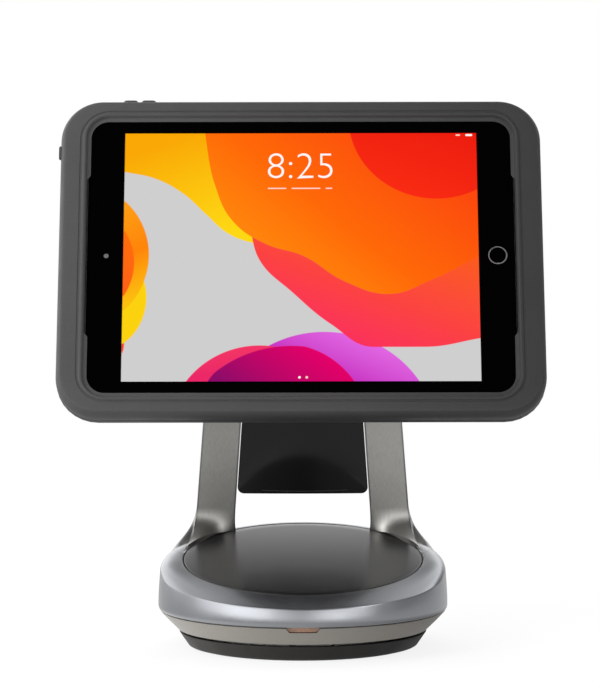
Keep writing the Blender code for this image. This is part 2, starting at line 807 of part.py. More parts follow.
def neck_sheet(name, front_side, surface, bulge_radius, sheet_at, lean=0.0, hem_lift=0.0):
    """A curved sheet between the arms; front_side is -1 for the front cover and 1 for the back one."""
    gap_to_arm = 0.0004
    drops = [0, 0.0003, 0.0010, 0.0022, NECK_CORNER]
    heights = [NECK_BOTTOM + drop for drop in drops]
    rise_steps = 4
    round_end = heights[-1]
    heights += [round_end + (NECK_TOP - round_end) * k / rise_steps for k in range(1, rise_steps + 1)]
    columns = 12
    bm = bmesh.new()
    layers = {}
    for layer in (0, 1):
        rows = []
        for height in heights:
            full = arm_inner(height) - gap_to_arm
            drop = min(height - NECK_BOTTOM, NECK_CORNER)
            half = full - NECK_CORNER + math.sqrt(NECK_CORNER**2 - (NECK_CORNER - drop) ** 2)
            row = []
            for j in range(columns + 1):
                x = half * (2 * j / columns - 1)
                bulge = (full**2 - x**2) / (2 * bulge_radius)
                stand_out = sheet_at + bulge + (height - NECK_MIDDLE) * lean + layer * NECK_SHEET
                lift = hem_lift * bulge * (1 - ease((height - NECK_BOTTOM) / NECK_HEM_REACH))
                row.append(bm.verts.new((x, front_side * stand_out, height + lift)))
            rows.append(row)
        layers[layer] = rows
    inner, outer = layers[0], layers[1]
    last = len(heights) - 1
    for i in range(last):
        for j in range(columns):
            bm.faces.new((outer[i][j], outer[i][j + 1], outer[i + 1][j + 1], outer[i + 1][j]))
            bm.faces.new((inner[i][j], inner[i + 1][j], inner[i + 1][j + 1], inner[i][j + 1]))
    rim = [(i, 0) for i in range(last)]
    rim += [(last, j) for j in range(columns)]
    rim += [(i, columns) for i in range(last, 0, -1)]
    rim += [(0, j) for j in range(columns, 0, -1)]
    for (i, j), (m, n) in zip(rim, rim[1:] + rim[:1]):
        bm.faces.new((outer[i][j], outer[m][n], inner[m][n], inner[i][j]))
    return smooth(add(name, mesh_from(bm), NECK, surface), 30)


def make_neck():
    neck_sheet(
        "neck_cover", -1, GLOSS_BLACK, NECK_BULGE_RADIUS, 0.0040, NECK_EXTRA_LEAN, NECK_HEM_LIFT
    )
    back = neck_sheet("neck_back_cover", 1, BLACK_PLASTIC, 0.9, 0.0036)
    beam_low = -0.062
    beam_high = -0.030
    beam_half = arm_inner(beam_high) - 0.0006
    beam = block(
        "neck_beam", (-beam_half, -0.0030, beam_low), (beam_half, 0.0030, beam_high), NECK, STEEL
    )
    middle = (beam_low + beam_high) / 2
    for side, label in ((-1, "left"), (1, "right")):
        place = Vector((side * 0.024, 0.0078, middle))
        hole_start = place - Vector((0, 0.0078, 0))
        carve(beam, rod("cut", 0.0018, hole_start, 0.008, NECK, STEEL, "Y", 16))
        carve(back, rod("cut", 0.0018, hole_start, 0.012, NECK, STEEL, "Y", 16))
        screw_at(f"neck_screw_{label}", place, 0.0028, 0.0014, 0.0015, 0.0070, NECK, "Y")


def make_hinge():
    """The axle through the arms' top ends, and what it carries between them."""
    end = arm_outer(0) - 0.0006
    rod("tilt_axle", AXLE_RADIUS, PIVOT - Vector((end, 0, 0)), 2 * end, SWIVEL, STEEL, "X")
    cap_start = arm_outer(-0.0050) + GAP

    disc_start = KNUCKLE_OUTER + GAP
    disc_length = 0.0024
    profile = [(0, 0.0016), (0.0034, 0.0016), (0.0048, 0.0008), (0.0048, 0), (0, 0)]
    for side, label in ((-1, "left"), (1, "right")):
        outward = Matrix.Rotation(side * math.pi / 2, 4, "Y")
        place = Matrix.Translation(PIVOT + Vector((side * cap_start, 0, 0))) @ outward
        turned(f"axle_cap_{label}", profile, SWIVEL, BLACK_PLASTIC, 24, place)
        start = disc_start if side > 0 else -disc_start - disc_length
        tube(
            f"friction_disc_{label}", AXLE_RADIUS + GAP, 0.0080, (start, 0, 0), disc_length,
            HEAD, WHITE_PLASTIC, "X",
        )
    sleeve = KNUCKLE_INNER - GAP
    tube("axle_sleeve", AXLE_RADIUS + GAP, 0.0055, (-sleeve, 0, 0), 2 * sleeve, HEAD, STEEL, "X")


# ---------------------------------------------------------------- head bracket


def make_bracket():
    """The plate behind the case, with two knuckles that reach back to the axle. In the pivot's frame."""
    plate_front = 0.0220 - TABLET_AHEAD
    plate_back = 0.0250 - TABLET_AHEAD
    plate_rise = TABLET_RAISE + 0.0020
    outline = [rounded_rectangle(0.030, 0.029, 0.008, y) for y in (plate_front, plate_back)]
    mesh = loft(outline)
    mesh.transform(Matrix.Translation((0, 0, plate_rise)))
    bracket = add("head_bracket", mesh, HEAD, CAST_METAL)
    for side in (-1, 1):
        low_x, high_x = sorted((side * KNUCKLE_INNER, side * KNUCKLE_OUTER))
        arc = [math.radians(-90 + 180 * k / 12) for k in range(13)]
        eye = [(KNUCKLE_RADIUS * math.cos(a), KNUCKLE_RADIUS * math.sin(a)) for a in arc]
        web = eye + [(plate_back - 0.0015, KNUCKLE_RADIUS), (plate_back - 0.0015, -KNUCKLE_RADIUS)]
        rings = [[(x, y, z) for y, z in web] for x in (low_x, high_x)]
        join(bracket, add("knuckle", loft(rings), HEAD, CAST_METAL))
    carve(bracket, rod("cut", AXLE_RADIUS + GAP, (-0.030, 0, 0), 0.060, HEAD, STEEL, "X"))
    hub_start = (TABLET_ASIDE, plate_front - CUT_EXTRA, TABLET_RAISE)
    carve(bracket, rod("cut", 0.0093, hub_start, 0.008, HEAD, STEEL, "Y", 32))
    smooth(bracket, 30)
    hub_local = (TABLET_ASIDE, 0.0191 - TABLET_AHEAD, TABLET_RAISE)
    tube("hub_bearing", 0.0093, 0.0260, hub_local, 0.0026, HEAD, WHITE_PLASTIC, "Y", 32)


# ---------------------------------------------------------------- case and tablet


def make_dock():
    """The plate screwed to the case's back, which turns on the bracket."""
    front = CASE_BACK + GAP
    back = front + 0.0030
    plate = slab("dock_plate", 0.120, 0.080, 0.010, front, back, TABLET, DARK_PAINT, edge=0.0004)
    spigot = rod("spigot", 0.0090, (0, back - 0.0010, 0), 0.0072, TABLET, STEEL, "Y", 32)
    join(plate, spigot)
    tube("hub_retainer", 0.0093, 0.0118, (0, 0.0253, 0), 0.0022, TABLET, STEEL, "Y", 32)
    holes = []
    for side, label in ((-1, "left"), (1, "right")):
        place = Vector((side * 0.048, back + GAP, 0))
        carve(plate, rod("cut", 0.0018, place - Vector((0, 0.008, 0)), 0.012, TABLET, STEEL, "Y", 16))
        screw_at(f"dock_screw_{label}", place, 0.0032, 0.0016, 0.0015, 0.0055, TABLET, "Y")
        holes.append(place - Vector((0, 0.0060, 0)))
    smooth(plate)
    return holes


def make_case_back(dock_holes):
    half_width = CASE_WIDTH / 2
    half_height = CASE_HEIGHT / 2
    radius = CASE_CORNER
    start = CASE_SPLIT + GAP
    cavity_x = TABLET_WIDTH / 2 + 0.0005
    cavity_z = TABLET_HEIGHT / 2 + 0.0005
    cavity_r = TABLET_CORNER + 0.0005
    rings = [
        (cavity_x, cavity_z, cavity_r, CASE_BACK - 0.0030),
        (cavity_x, cavity_z, cavity_r, start),
        (half_width, half_height, radius, start),
        (half_width, half_height, radius, 0.0118),
        (half_width - 0.0009, half_height - 0.0009, radius - 0.0009, 0.0138),
        (half_width - 0.0030, half_height - 0.0030, radius - 0.0030, 0.0151),
        (half_width - 0.0070, half_height - 0.0070, radius - 0.0070, CASE_BACK),
    ]
    outlines = [rounded_rectangle(*ring) for ring in rings]
    shell = add("case_back_shell", loft(outlines), TABLET, CASE_RUBBER)
    for place in dock_holes:
        carve(shell, rod("cut", 0.0018, place, 0.010, TABLET, STEEL, "Y", 16))
    lens_hole = rod("cut", 0.0062, (-0.113, 0.010, 0.0735), 0.010, TABLET, STEEL, "Y", 32)
    carve(shell, lens_hole)
    places = [Vector((x, 0.0136, z)) for x in (-0.1335, 0.1335) for z in (-0.055, 0.055)]
    for number, place in enumerate(places, 1):
        carve(shell, rod("cut", 0.0031, place - Vector((0, GAP, 0)), 0.006, TABLET, STEEL, "Y", 20))
        carve(shell, rod("cut", 0.0018, place - Vector((0, 0.010, 0)), 0.012, TABLET, STEEL, "Y", 16))
        screw_at(f"case_screw_{number}", place, 0.0027, 0.0014, 0.0015, 0.0090, TABLET, "Y")
    smooth(shell, 26)
    return [place - Vector((0, 0.0096, 0)) for place in places]


def make_case_front(screw_holes):
    half_width = CASE_WIDTH / 2
    half_height = CASE_HEIGHT / 2
    open_x = OPENING_WIDTH / 2
    open_z = OPENING_HEIGHT / 2
    cavity = (TABLET_WIDTH / 2 + 0.0005, TABLET_HEIGHT / 2 + 0.0005, TABLET_CORNER + 0.0005)
    rings = [(half_width, half_height, CASE_CORNER, CASE_SPLIT)]
    for inset, depth in CASE_RIM:
        rings.append((half_width - inset, half_height - inset, CASE_CORNER - inset, depth))
    rings += [
        (open_x + 0.0050, open_z + 0.0050, 0.0162, CASE_FRONT),
        (open_x + 0.0040, open_z + 0.0042, 0.0151, CASE_FRONT - CASE_BEAD),
        (open_x + 0.0035, open_z + 0.0038, 0.0145, CASE_FRONT - CASE_BEAD),
        (open_x + 0.0021, open_z + 0.0023, 0.0126, -0.0015),
        (open_x, open_z, OPENING_CORNER, -0.0009),
        (open_x, open_z, OPENING_CORNER, -GAP),
        (*cavity, -GAP),
        (*cavity, CASE_SPLIT),
    ]
    outlines = [rounded_rectangle(*ring, 10) for ring in rings]
    frame = add("case_front_frame", loft(outlines, closed_run=True), TABLET, CASE_RUBBER)
    for place in screw_holes:
        carve(frame, rod("cut", 0.0018, place, 0.012, TABLET, STEEL, "Y", 16))
    return frame


def pill(length, width, start, end, spare=0.0):
    """The outline of a round-ended key, as a prism along Z from start to end."""
    radius = width / 2 + spare
    half = length / 2 - width / 2
    arc = [math.radians(-90 + 180 * k / 8) for k in range(9)]
    outline = [(half + radius * math.cos(a), radius * math.sin(a)) for a in arc]
    outline += [(-x, -y) for x, y in outline]
    return loft([[(x, y, z) for x, y in outline] for z in (start, end)])


def make_keys(frame):
    """The case's key covers: two on the long top edge and one on the short left edge."""
    depth = TABLET_THICKNESS / 2
    reach = 0.0100
    keys = {
        "volume_up_button": Matrix.Translation((VOLUME_BUTTONS_X[0], depth, CASE_HEIGHT / 2)),
        "volume_down_button": Matrix.Translation((VOLUME_BUTTONS_X[1], depth, CASE_HEIGHT / 2)),
        "power_button": Matrix.Translation((-CASE_WIDTH / 2, depth, POWER_BUTTON_Z))
        @ Matrix.Rotation(-math.pi / 2, 4, "Y"),
    }
    wall = {"power_button": (CASE_WIDTH - TABLET_WIDTH) / 2}
    for name, place in keys.items():
        thick = wall.get(name, (CASE_HEIGHT - TABLET_HEIGHT) / 2)
        hole = pill(BUTTON_LENGTH, BUTTON_WIDTH, -thick - CUT_EXTRA, CUT_EXTRA, GAP)
        carve(frame, add("cut", hole, TABLET, STEEL, place))
        parent = empty(f"{name}_axis", TABLET.matrix_world @ place, TABLET)
        body = pill(BUTTON_LENGTH, BUTTON_WIDTH, -reach, BUTTON_STAND_OUT - 0.0005)
        key = add(name, body, parent, CASE_RUBBER)
        crown = pill(BUTTON_LENGTH - 0.0008, BUTTON_WIDTH - 0.0008, -0.002, BUTTON_STAND_OUT)
        join(key, add("crown", crown, parent, CASE_RUBBER))
        smooth(key, 30)
    smooth(frame, 26)


def make_tablet():
    back = TABLET_THICKNESS
    half_width = TABLET_WIDTH / 2
    half_height = TABLET_HEIGHT / 2
    radius = TABLET_CORNER
    wall = 0.0012
    front = GLASS_THICKNESS + GAP
    rings = [
        (half_width - wall, half_height - wall, radius - wall, back - wall),
        (half_width - wall, half_height - wall, radius - wall, front),
        (half_width, half_height, radius, front),
        (half_width, half_height, radius, back - 0.0026),
        (half_width - 0.0008, half_height - 0.0008, radius - 0.0008, back - 0.0009),
        (half_width - 0.0026, half_height - 0.0026, radius - 0.0026, back),
    ]
    outlines = [rounded_rectangle(*ring, 6) for ring in rings]
    shell = add("tablet_back_shell", loft(outlines), TABLET, ALUMINIUM)
    smooth(shell)
    inside = back - wall - GAP
    battery = slab(
        "tablet_battery", 0.150, 0.130, 0.003, 0.0030, inside, TABLET, BATTERY_GREY, corner_steps=2
    )
    battery.data.transform(Matrix.Translation((-0.020, 0, 0)))
    block("tablet_board", (0.062, 0.0030, -0.070), (0.098, inside, 0.070), TABLET, GREEN_BOARD)
    glass = slab(
        "tablet_glass", TABLET_WIDTH - 0.0006, TABLET_HEIGHT - 0.0006, radius - GAP, 0, GLASS_THICKNESS,
        TABLET, GLOSS_BLACK, edge=0.0003,
    )
    window = block(
        "cut", (-DISPLAY_WIDTH / 2, -CUT_EXTRA, -DISPLAY_HEIGHT / 2),
        (DISPLAY_WIDTH / 2, CUT_EXTRA * 2, DISPLAY_HEIGHT / 2), TABLET, STEEL,
    )
    ring_radius = 0.0058
    carve(glass, window)
    carve(glass, rod("cut", ring_radius, (HOME_BUTTON_X, -CUT_EXTRA, 0), 0.008, TABLET, STEEL, "Y", 32))
    carve(glass, rod("cut", 0.0017, (FRONT_CAMERA_X, -CUT_EXTRA, 0), 0.008, TABLET, STEEL, "Y", 24))
    panel = GAP / 2
    block(
        "display_panel", (-DISPLAY_WIDTH / 2 + panel, 0.0001, -DISPLAY_HEIGHT / 2 + panel),
        (DISPLAY_WIDTH / 2 - panel, GLASS_THICKNESS, DISPLAY_HEIGHT / 2 - panel), TABLET, SCREEN,
    )
    rod("front_camera", 0.0014, (FRONT_CAMERA_X, 0.0002, 0), 0.0016, TABLET, LENS, "Y", 24)
    tube(
        "home_button_ring", ring_radius - 0.0008, ring_radius - GAP, (HOME_BUTTON_X, 0, 0),
        GLASS_THICKNESS, TABLET, STEEL, "Y", 32,
    )
    home_place = TABLET.matrix_world @ Matrix.Translation((HOME_BUTTON_X, 0, 0))
    home = empty("home_button_axis", home_place, TABLET)
    rod("home_button", ring_radius - 0.0011, (0, 0.0001, 0), 0.0010, home, GLOSS_BLACK, "Y", 32)
    rod("rear_camera", 0.0046, (-0.113, TABLET_THICKNESS + GAP, 0.0735), 0.0040, TABLET, LENS, "Y", 32)
    foam = slab(
        "foam_pad", TABLET_WIDTH - 0.006, TABLET_HEIGHT - 0.006, 0.006, TABLET_THICKNESS + GAP,
        CASE_BACK - 0.0030 - GAP, TABLET, FOAM,
    )
    carve(foam, rod("cut", 0.0062, (-0.113, 0.004, 0.0735), 0.012, TABLET, STEEL, "Y", 32))


# ---------------------------------------------------------------- build


clear_scene()
STAND = new_collection("tablet_stand")

STEEL = material("steel", (0.55, 0.55, 0.56), 0.35, 1.0)
ALUMINIUM = material("tablet_aluminium", (0.62, 0.62, 0.64), 0.40, 1.0)
CAST_METAL = material("cast_metal", (0.36, 0.36, 0.37), 0.55, 1.0)
SILVER = material("silver_paint", (0.46, 0.47, 0.48), 0.38, 0.6)
FACE_METAL = material("face_silver", (0.36, 0.36, 0.355), 0.36, 0.6)
WARM_METAL = material("warm_silver", (0.42, 0.41, 0.39), 0.42, 0.6)
DARK_PAINT = material("dark_paint", (0.055, 0.052, 0.050), 0.50)
BLACK_SATIN = material("black_satin", (0.018, 0.018, 0.019), 0.38)
BLACK_PLASTIC = material("black_plastic", (0.015, 0.015, 0.015), 0.45)
GLOSS_BLACK = material("gloss_black", (0.008, 0.008, 0.009), 0.08)
WHITE_PLASTIC = material("bearing_plastic", (0.75, 0.74, 0.70), 0.50)
CASE_RUBBER = material("case_rubber", (0.062, 0.063, 0.066), 0.62)
RUBBER = material("pad_rubber", (0.030, 0.030, 0.031), 0.85)
FOAM = material("foam", (0.045, 0.045, 0.048), 0.95)
SCREEN = material("screen", (0.90, 0.35, 0.10), 0.15)
LENS = material("lens", (0.010, 0.012, 0.020), 0.05)
AMBER = material("amber_light", (0.80, 0.38, 0.16), 0.30)
GREEN_BOARD = material("circuit_board", (0.05, 0.20, 0.09), 0.50)
BATTERY_GREY = material("battery_wrap", (0.10, 0.10, 0.11), 0.55)

PIVOT = Vector((0, PIVOT_SETBACK, PIVOT_HEIGHT))
NECK_FRAME = Matrix.Translation(PIVOT) @ Matrix.Rotation(ARM_LEAN, 4, "X")
HEAD_FRAME = Matrix.Translation(PIVOT) @ Matrix.Rotation(-HEAD_TILT, 4, "X")
TABLET_FRAME = HEAD_FRAME @ Matrix.Translation((TABLET_ASIDE, -TABLET_AHEAD, TABLET_RAISE))

BASE = empty("base_origin", Matrix.Identity(4))
SWIVEL = empty("swivel_axis", Matrix.Identity(4), BASE)
NECK = empty("neck_frame", NECK_FRAME, SWIVEL)
HEAD = empty("tilt_axis", HEAD_FRAME, SWIVEL)
TABLET = empty("turn_axis", TABLET_FRAME, HEAD)

make_swivel(make_foot())
make_skirt()
make_ring()
ARM_LEVELS = arm_levels()
for arm_side, arm_name in ((1, "left"), (-1, "right")):
    make_arm(f"arm_{arm_name}", ARM_LEVELS, arm_side)
    make_arm_face(f"arm_face_{arm_name}", ARM_LEVELS, arm_side)
make_neck()
make_hinge()
make_bracket()
make_keys(make_case_front(make_case_back(make_dock())))
make_tablet()
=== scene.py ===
"""Looks for the counter tablet stand: fine pieces, materials, light and camera."""

import math

import bmesh
import bpy
from mathutils import Matrix, Vector


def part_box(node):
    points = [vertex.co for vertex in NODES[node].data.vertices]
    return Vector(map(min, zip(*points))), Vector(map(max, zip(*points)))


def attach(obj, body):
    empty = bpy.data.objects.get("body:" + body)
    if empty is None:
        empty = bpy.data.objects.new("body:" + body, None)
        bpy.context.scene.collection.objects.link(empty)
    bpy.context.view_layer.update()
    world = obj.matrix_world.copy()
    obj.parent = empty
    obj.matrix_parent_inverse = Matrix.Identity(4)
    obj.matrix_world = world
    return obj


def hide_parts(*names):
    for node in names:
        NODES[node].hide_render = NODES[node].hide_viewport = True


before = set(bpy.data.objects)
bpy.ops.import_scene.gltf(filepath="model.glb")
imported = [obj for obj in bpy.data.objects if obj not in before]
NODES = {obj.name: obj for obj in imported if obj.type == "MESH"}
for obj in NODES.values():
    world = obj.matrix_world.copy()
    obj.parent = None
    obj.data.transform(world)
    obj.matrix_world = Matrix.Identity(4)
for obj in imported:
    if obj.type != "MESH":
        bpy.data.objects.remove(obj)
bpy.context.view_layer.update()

# ---------------------------------------------------------------- sizes shared with the frame

GAP = 0.0003

DISC_RADIUS = 0.0698
DISC_THICKNESS = 0.0030
DISC_SEAM = 0.0006
DISC_CROWN = 0.0010
DISC_EDGE = 0.0006
CROWN_STEPS = 12
DECK_HEIGHT = 0.0510
DECK_SLOPE = math.radians(10.4)
CREASE_HEIGHT = 0.0435
CREASE_SLOPE = math.radians(7.8)
CREASE_RADIUS = 0.0838
BAND_RADIUS = 0.0848
BAND_WIDEST_Z = 0.0243
BAND_BOTTOM_Z = 0.0213
BAND_BOTTOM_RADIUS = 0.0839
RING_WALL = 0.0026
SEAT_WIDTH = 0.0044

PAD_RADIUS = 0.0640
FOOT_BOTTOM_Z = 0.0008
FOOT_BOTTOM_RADIUS = 0.0670
FOOT_TOP_Z = 0.0092
FOOT_TOP_RADIUS = 0.0724
FOOT_WALL = 0.0022
FOOT_FLOOR_Z, FOOT_FLOOR_TOP_Z = 0.0018, 0.0036
FOOT_HOLE_RADIUS = 0.0100
SKIRT_BOTTOM_Z = 0.0104
SKIRT_BOTTOM_RADIUS = 0.0735
SKIRT_WALL = 0.0022
TURNTABLE_Z = 0.0167
TURNTABLE_THICKNESS = 0.0030
TURNTABLE_RADIUS = 0.0755
SLOT_TOP_WIDTH = 0.0209
SLOT_BOTTOM_WIDTH = 0.0156
SLOT_HEIGHT = 0.0030

ARM_FIRST = math.radians(125.0)
ARM_LAST = math.radians(160.0)
ARM_TIP = math.radians(172.0)
ARM_DEEPEST_SHARE = 5 / 6
ARM_LEAN = math.radians(13.0)
ARM_HALF_THICKNESS = 0.0062
ARM_FACE_THICKNESS = 0.0012
ARM_FACE_INSET = 0.0010
ARM_INNER_AT_PIVOT = 0.0316
ARM_OUTER_AT_PIVOT = 0.0536
ARM_INNER_SPREAD = 0.0694
ARM_OUTER_SPREAD = 0.0800
ARM_STRAIGHT_FROM = -0.1260
NECK_BOTTOM = -0.1180
NECK_TOP = -0.0140
NECK_BULGE_RADIUS = 0.1470
NECK_SHEET = 0.0024
NECK_CORNER = 0.0042
NECK_AHEAD = 0.0040
NECK_MIDDLE = -0.0660
NECK_EXTRA_LEAN = 0.0260
NECK_HEM_LIFT = 0.30
NECK_HEM_REACH = 0.0200

CASE_WIDTH = 0.2836
CASE_HEIGHT = 0.1980
CASE_CORNER = 0.0250
CASE_FRONT = -0.0025
CASE_SPLIT = 0.0080
OPENING_WIDTH = 0.2475
OPENING_HEIGHT = 0.1701
OPENING_CORNER = 0.0105
CAVITY = (0.1258, 0.08755, 0.0085)
DISPLAY_WIDTH = 0.2078
DISPLAY_HEIGHT = 0.1559

PIVOT = Vector((0, 0.0280, 0.2000))
HEAD_TILT = math.radians(23.5)
NECK_FRAME = Matrix.Translation(PIVOT) @ Matrix.Rotation(ARM_LEAN, 4, "X")
HEAD_FRAME = Matrix.Translation(PIVOT) @ Matrix.Rotation(-HEAD_TILT, 4, "X")
TABLET_FRAME = HEAD_FRAME @ Matrix.Translation((-0.0008, -0.0370, 0.0150))
DECK_FRAME = Matrix.Translation((0, 0, DECK_HEIGHT)) @ Matrix.Rotation(DECK_SLOPE, 4, "X")

ROUND_STEPS = 288
TOP_STEPS = 22


# ---------------------------------------------------------------- materials


NOISE_LOW, NOISE_HIGH = 0.3, 0.7
MIX_COLOUR_A, MIX_COLOUR_B, MIX_COLOUR_RESULT = 6, 7, 2
ACROSS, ALONG, UPWARD = (1, 0, 0), (0, 1, 0), (0, 0, 1)


def linear(red, green, blue):
    """A display colour of 0 to 255 as scene light."""
    made = []
    for value in (red, green, blue):
        share = value / 255
        made.append(share / 12.92 if share <= 0.04045 else ((share + 0.055) / 1.055) ** 2.4)
    return (*made, 1.0)


class Nodes:
    """Short ways to lay nodes in one tree; place is the coordinate that patterns are made from."""

    def __init__(self, tree, kind):
        self.tree = tree
        self.place = tree.nodes.new("ShaderNodeTexCoord").outputs[kind]

    def feed(self, socket, value):
        if isinstance(value, bpy.types.NodeSocket):
            self.tree.links.new(value, socket)
        elif value is not None:
            socket.default_value = value

    def maths(self, operation, first, second=None):
        node = self.tree.nodes.new("ShaderNodeMath")
        node.operation = operation
        for socket, value in zip(node.inputs, (first, second)):
            self.feed(socket, value)
        return node.outputs[0]

    def plus(self, first, second):
        return self.maths("ADD", first, second)

    def minus(self, first, second):
        return self.maths("SUBTRACT", first, second)

    def times(self, first, second):
        return self.maths("MULTIPLY", first, second)

    def hypotenuse(self, first, second):
        squares = self.plus(self.times(first, first), self.times(second, second))
        return self.maths("SQRT", squares)

    def stretched(self, x, y, z):
        node = self.tree.nodes.new("ShaderNodeVectorMath")
        node.operation = "MULTIPLY"
        self.feed(node.inputs[0], self.place)
        node.inputs[1].default_value = (x, y, z)
        return node.outputs[0]

    def dot(self, direction):
        node = self.tree.nodes.new("ShaderNodeVectorMath")
        node.operation = "DOT_PRODUCT"
        self.feed(node.inputs[0], self.place)
        node.inputs[1].default_value = direction
        return node.outputs["Value"]

    def noise(self, scale, detail=2.0, roughness=0.5, place=None):
        node = self.tree.nodes.new("ShaderNodeTexNoise")
        node.inputs["Scale"].default_value = scale
        node.inputs["Detail"].default_value = detail
        node.inputs["Roughness"].default_value = roughness
        self.feed(node.inputs["Vector"], place or self.place)
        return node.outputs["Fac"]

    def cells(self, scale):
        node = self.tree.nodes.new("ShaderNodeTexVoronoi")
        node.inputs["Scale"].default_value = scale
        self.feed(node.inputs["Vector"], self.place)
        return node.outputs["Distance"]

    def span(self, value, low, high, to_low=0.0, to_high=1.0):
        """A value from low to high mapped onto another range and kept inside it."""
        node = self.tree.nodes.new("ShaderNodeMapRange")
        node.clamp = True
        for socket, number in zip(node.inputs, (value, low, high, to_low, to_high)):
            self.feed(socket, number)
        return node.outputs[0]

    def ramp(self, value, stops, easing="LINEAR"):
        """Colours along a value, from stops of (position, colour)."""
        node = self.tree.nodes.new("ShaderNodeValToRGB")
        node.color_ramp.interpolation = easing
        parts = node.color_ramp.elements
        while len(parts) < len(stops):
            parts.new(0.5)
        for part, (position, colour) in zip(parts, stops):
            part.position = position
            part.color = colour
        self.feed(node.inputs[0], value)
        return node.outputs[0]

    def patched(self, pattern, low, high):
        """Two colours that follow a noise pattern, whose values mostly lie from 0.3 to 0.7."""
        return self.ramp(pattern, [(NOISE_LOW, low), (NOISE_HIGH, high)])

    def mix(self, share, first, second, kind="MIX"):
        node = self.tree.nodes.new("ShaderNodeMix")
        node.data_type = "RGBA"
        node.blend_type = kind
        self.feed(node.inputs["Factor"], share)
        self.feed(node.inputs[MIX_COLOUR_A], first)
        self.feed(node.inputs[MIX_COLOUR_B], second)
        return node.outputs[MIX_COLOUR_RESULT]

    def emission(self, colour, strength, kind="ShaderNodeEmission"):
        node = self.tree.nodes.new(kind)
        self.feed(node.inputs["Color"], colour)
        self.feed(node.inputs["Strength"], strength)
        return node.outputs[0]

    def blend(self, share, first, second):
        node = self.tree.nodes.new("ShaderNodeMixShader")
        self.feed(node.inputs[0], share)
        self.tree.links.new(first, node.inputs[1])
        self.tree.links.new(second, node.inputs[2])
        return node.outputs[0]


class Look(Nodes):
    """A node material around one Principled shader, in the object's own coordinates."""

    def __init__(self, name, **values):
        self.material = bpy.data.materials.new(name)
        self.material.use_nodes = True
        super().__init__(self.material.node_tree, "Object")
        self.shader = self.tree.nodes["Principled BSDF"]
        for key, value in values.items():
            self.shader.inputs[key.replace("_", " ")].default_value = value

    def colour(self, value):
        self.feed(self.shader.inputs["Base Color"], value)

    def glow(self, colour, strength):
        self.feed(self.shader.inputs["Emission Color"], colour)
        self.feed(self.shader.inputs["Emission Strength"], strength)

    def painted_side_light(self, low, high, to_low, to_high):
        """Paints light and shade into the colour: lighter on one side of the object, darker on the
        other.
        """
        share = self.span(self.dot(ACROSS), low, high, to_low, to_high)
        tone = self.shader.inputs["Base Color"].links[0].from_socket
        self.colour(self.mix(1.0, tone, share, "MULTIPLY"))

    def rough(self, pattern, low, high):
        """Varies the gloss with a noise pattern, between two roughnesses."""
        share = self.span(pattern, NOISE_LOW, NOISE_HIGH, low, high)
        self.feed(self.shader.inputs["Roughness"], share)

    def bump(self, *layers):
        """Stacks bump layers of (height, distance in metres, strength)."""
        last = None
        for height, distance, strength in layers:
            node = self.tree.nodes.new("ShaderNodeBump")
            node.inputs["Distance"].default_value = distance
            node.inputs["Strength"].default_value = strength
            self.feed(node.inputs["Height"], height)
            if last:
                self.tree.links.new(last, node.inputs["Normal"])
            last = node.outputs[0]
        self.tree.links.new(last, self.shader.inputs["Normal"])


def toned(colour, share):
    return (*[channel * share for channel in colour[:3]], 1.0)


def grey(value):
    """A neutral tone of scene light; above 1 it brightens what it multiplies."""
    return (value, value, value, 1.0)


WHITE = grey(1.0)
BLACK = grey(0.0)


def moulded(name, colour, low, high, grain=1500, depth=0.00003, spread=0.10, **values):
    """Moulded plastic or rubber: a spark-eroded grain, soft mottling and handling marks."""
    look = Look(name, **values)
    speck = look.noise(grain, 2, 0.6)
    mottle = look.noise(22, 4, 0.6)
    tone = look.patched(mottle, toned(colour, 1 - spread), toned(colour, 1 + spread))
    fleck = look.ramp(speck, [(0.35, grey(0.86)), (0.65, grey(1.08))])
    look.colour(look.mix(1.0, tone, fleck, "MULTIPLY"))
    look.rough(look.noise(70, 3, 0.55), low, high)
    look.bump((speck, depth, 0.55), (look.cells(grain * 0.6), depth * 0.7, 0.25))
    return look


def painted_metal(name, colour, low, high, flake=2600):
    """Satin metallic paint: fine flake, faint orange peel and soft smears."""
    look = Look(name, Metallic=0.92)
    fleck = look.cells(flake)
    tone = look.patched(look.noise(14, 3, 0.55), toned(colour, 0.95), toned(colour, 1.05))
    spark = look.ramp(fleck, [(0.0, grey(1.10)), (0.6, grey(0.90))])
    look.colour(look.mix(1.0, tone, spark, "MULTIPLY"))
    look.rough(look.noise(55, 3, 0.6), low, high)
    look.bump((look.noise(420, 2, 0.5), 0.00002, 0.25), (fleck, 0.000008, 0.35))
    return look


def brushed_metal(name, colour, low, high, stretch=(1500, 1500, 24)):
    """Bare or clear-coated metal with hairlines along one direction."""
    look = Look(name, Metallic=1.0)
    lines = look.noise(1.0, 4, 0.7, look.stretched(*stretch))
    tone = look.patched(look.noise(18, 3, 0.5), toned(colour, 0.94), toned(colour, 1.06))
    streak = look.patched(lines, grey(0.88), grey(1.08))
    look.colour(look.mix(1.0, tone, streak, "MULTIPLY"))
    look.rough(lines, low, high)
    look.bump((lines, 0.00001, 0.35))
    return look


def gloss_black(name, tone, low, high, **values):
    """Polished black surface with faint dust and wiping marks in its gloss."""
    look = Look(name, **values)
    dust = look.noise(900, 3, 0.75)
    look.colour(look.ramp(dust, [(0.55, tone), (0.85, toned(tone, 2.2))]))
    look.rough(look.noise(1.0, 3, 0.5, look.stretched(60, 60, 12)), low, high)
    look.bump((look.noise(30, 2, 0.5), 0.00002, 0.08))
    return look


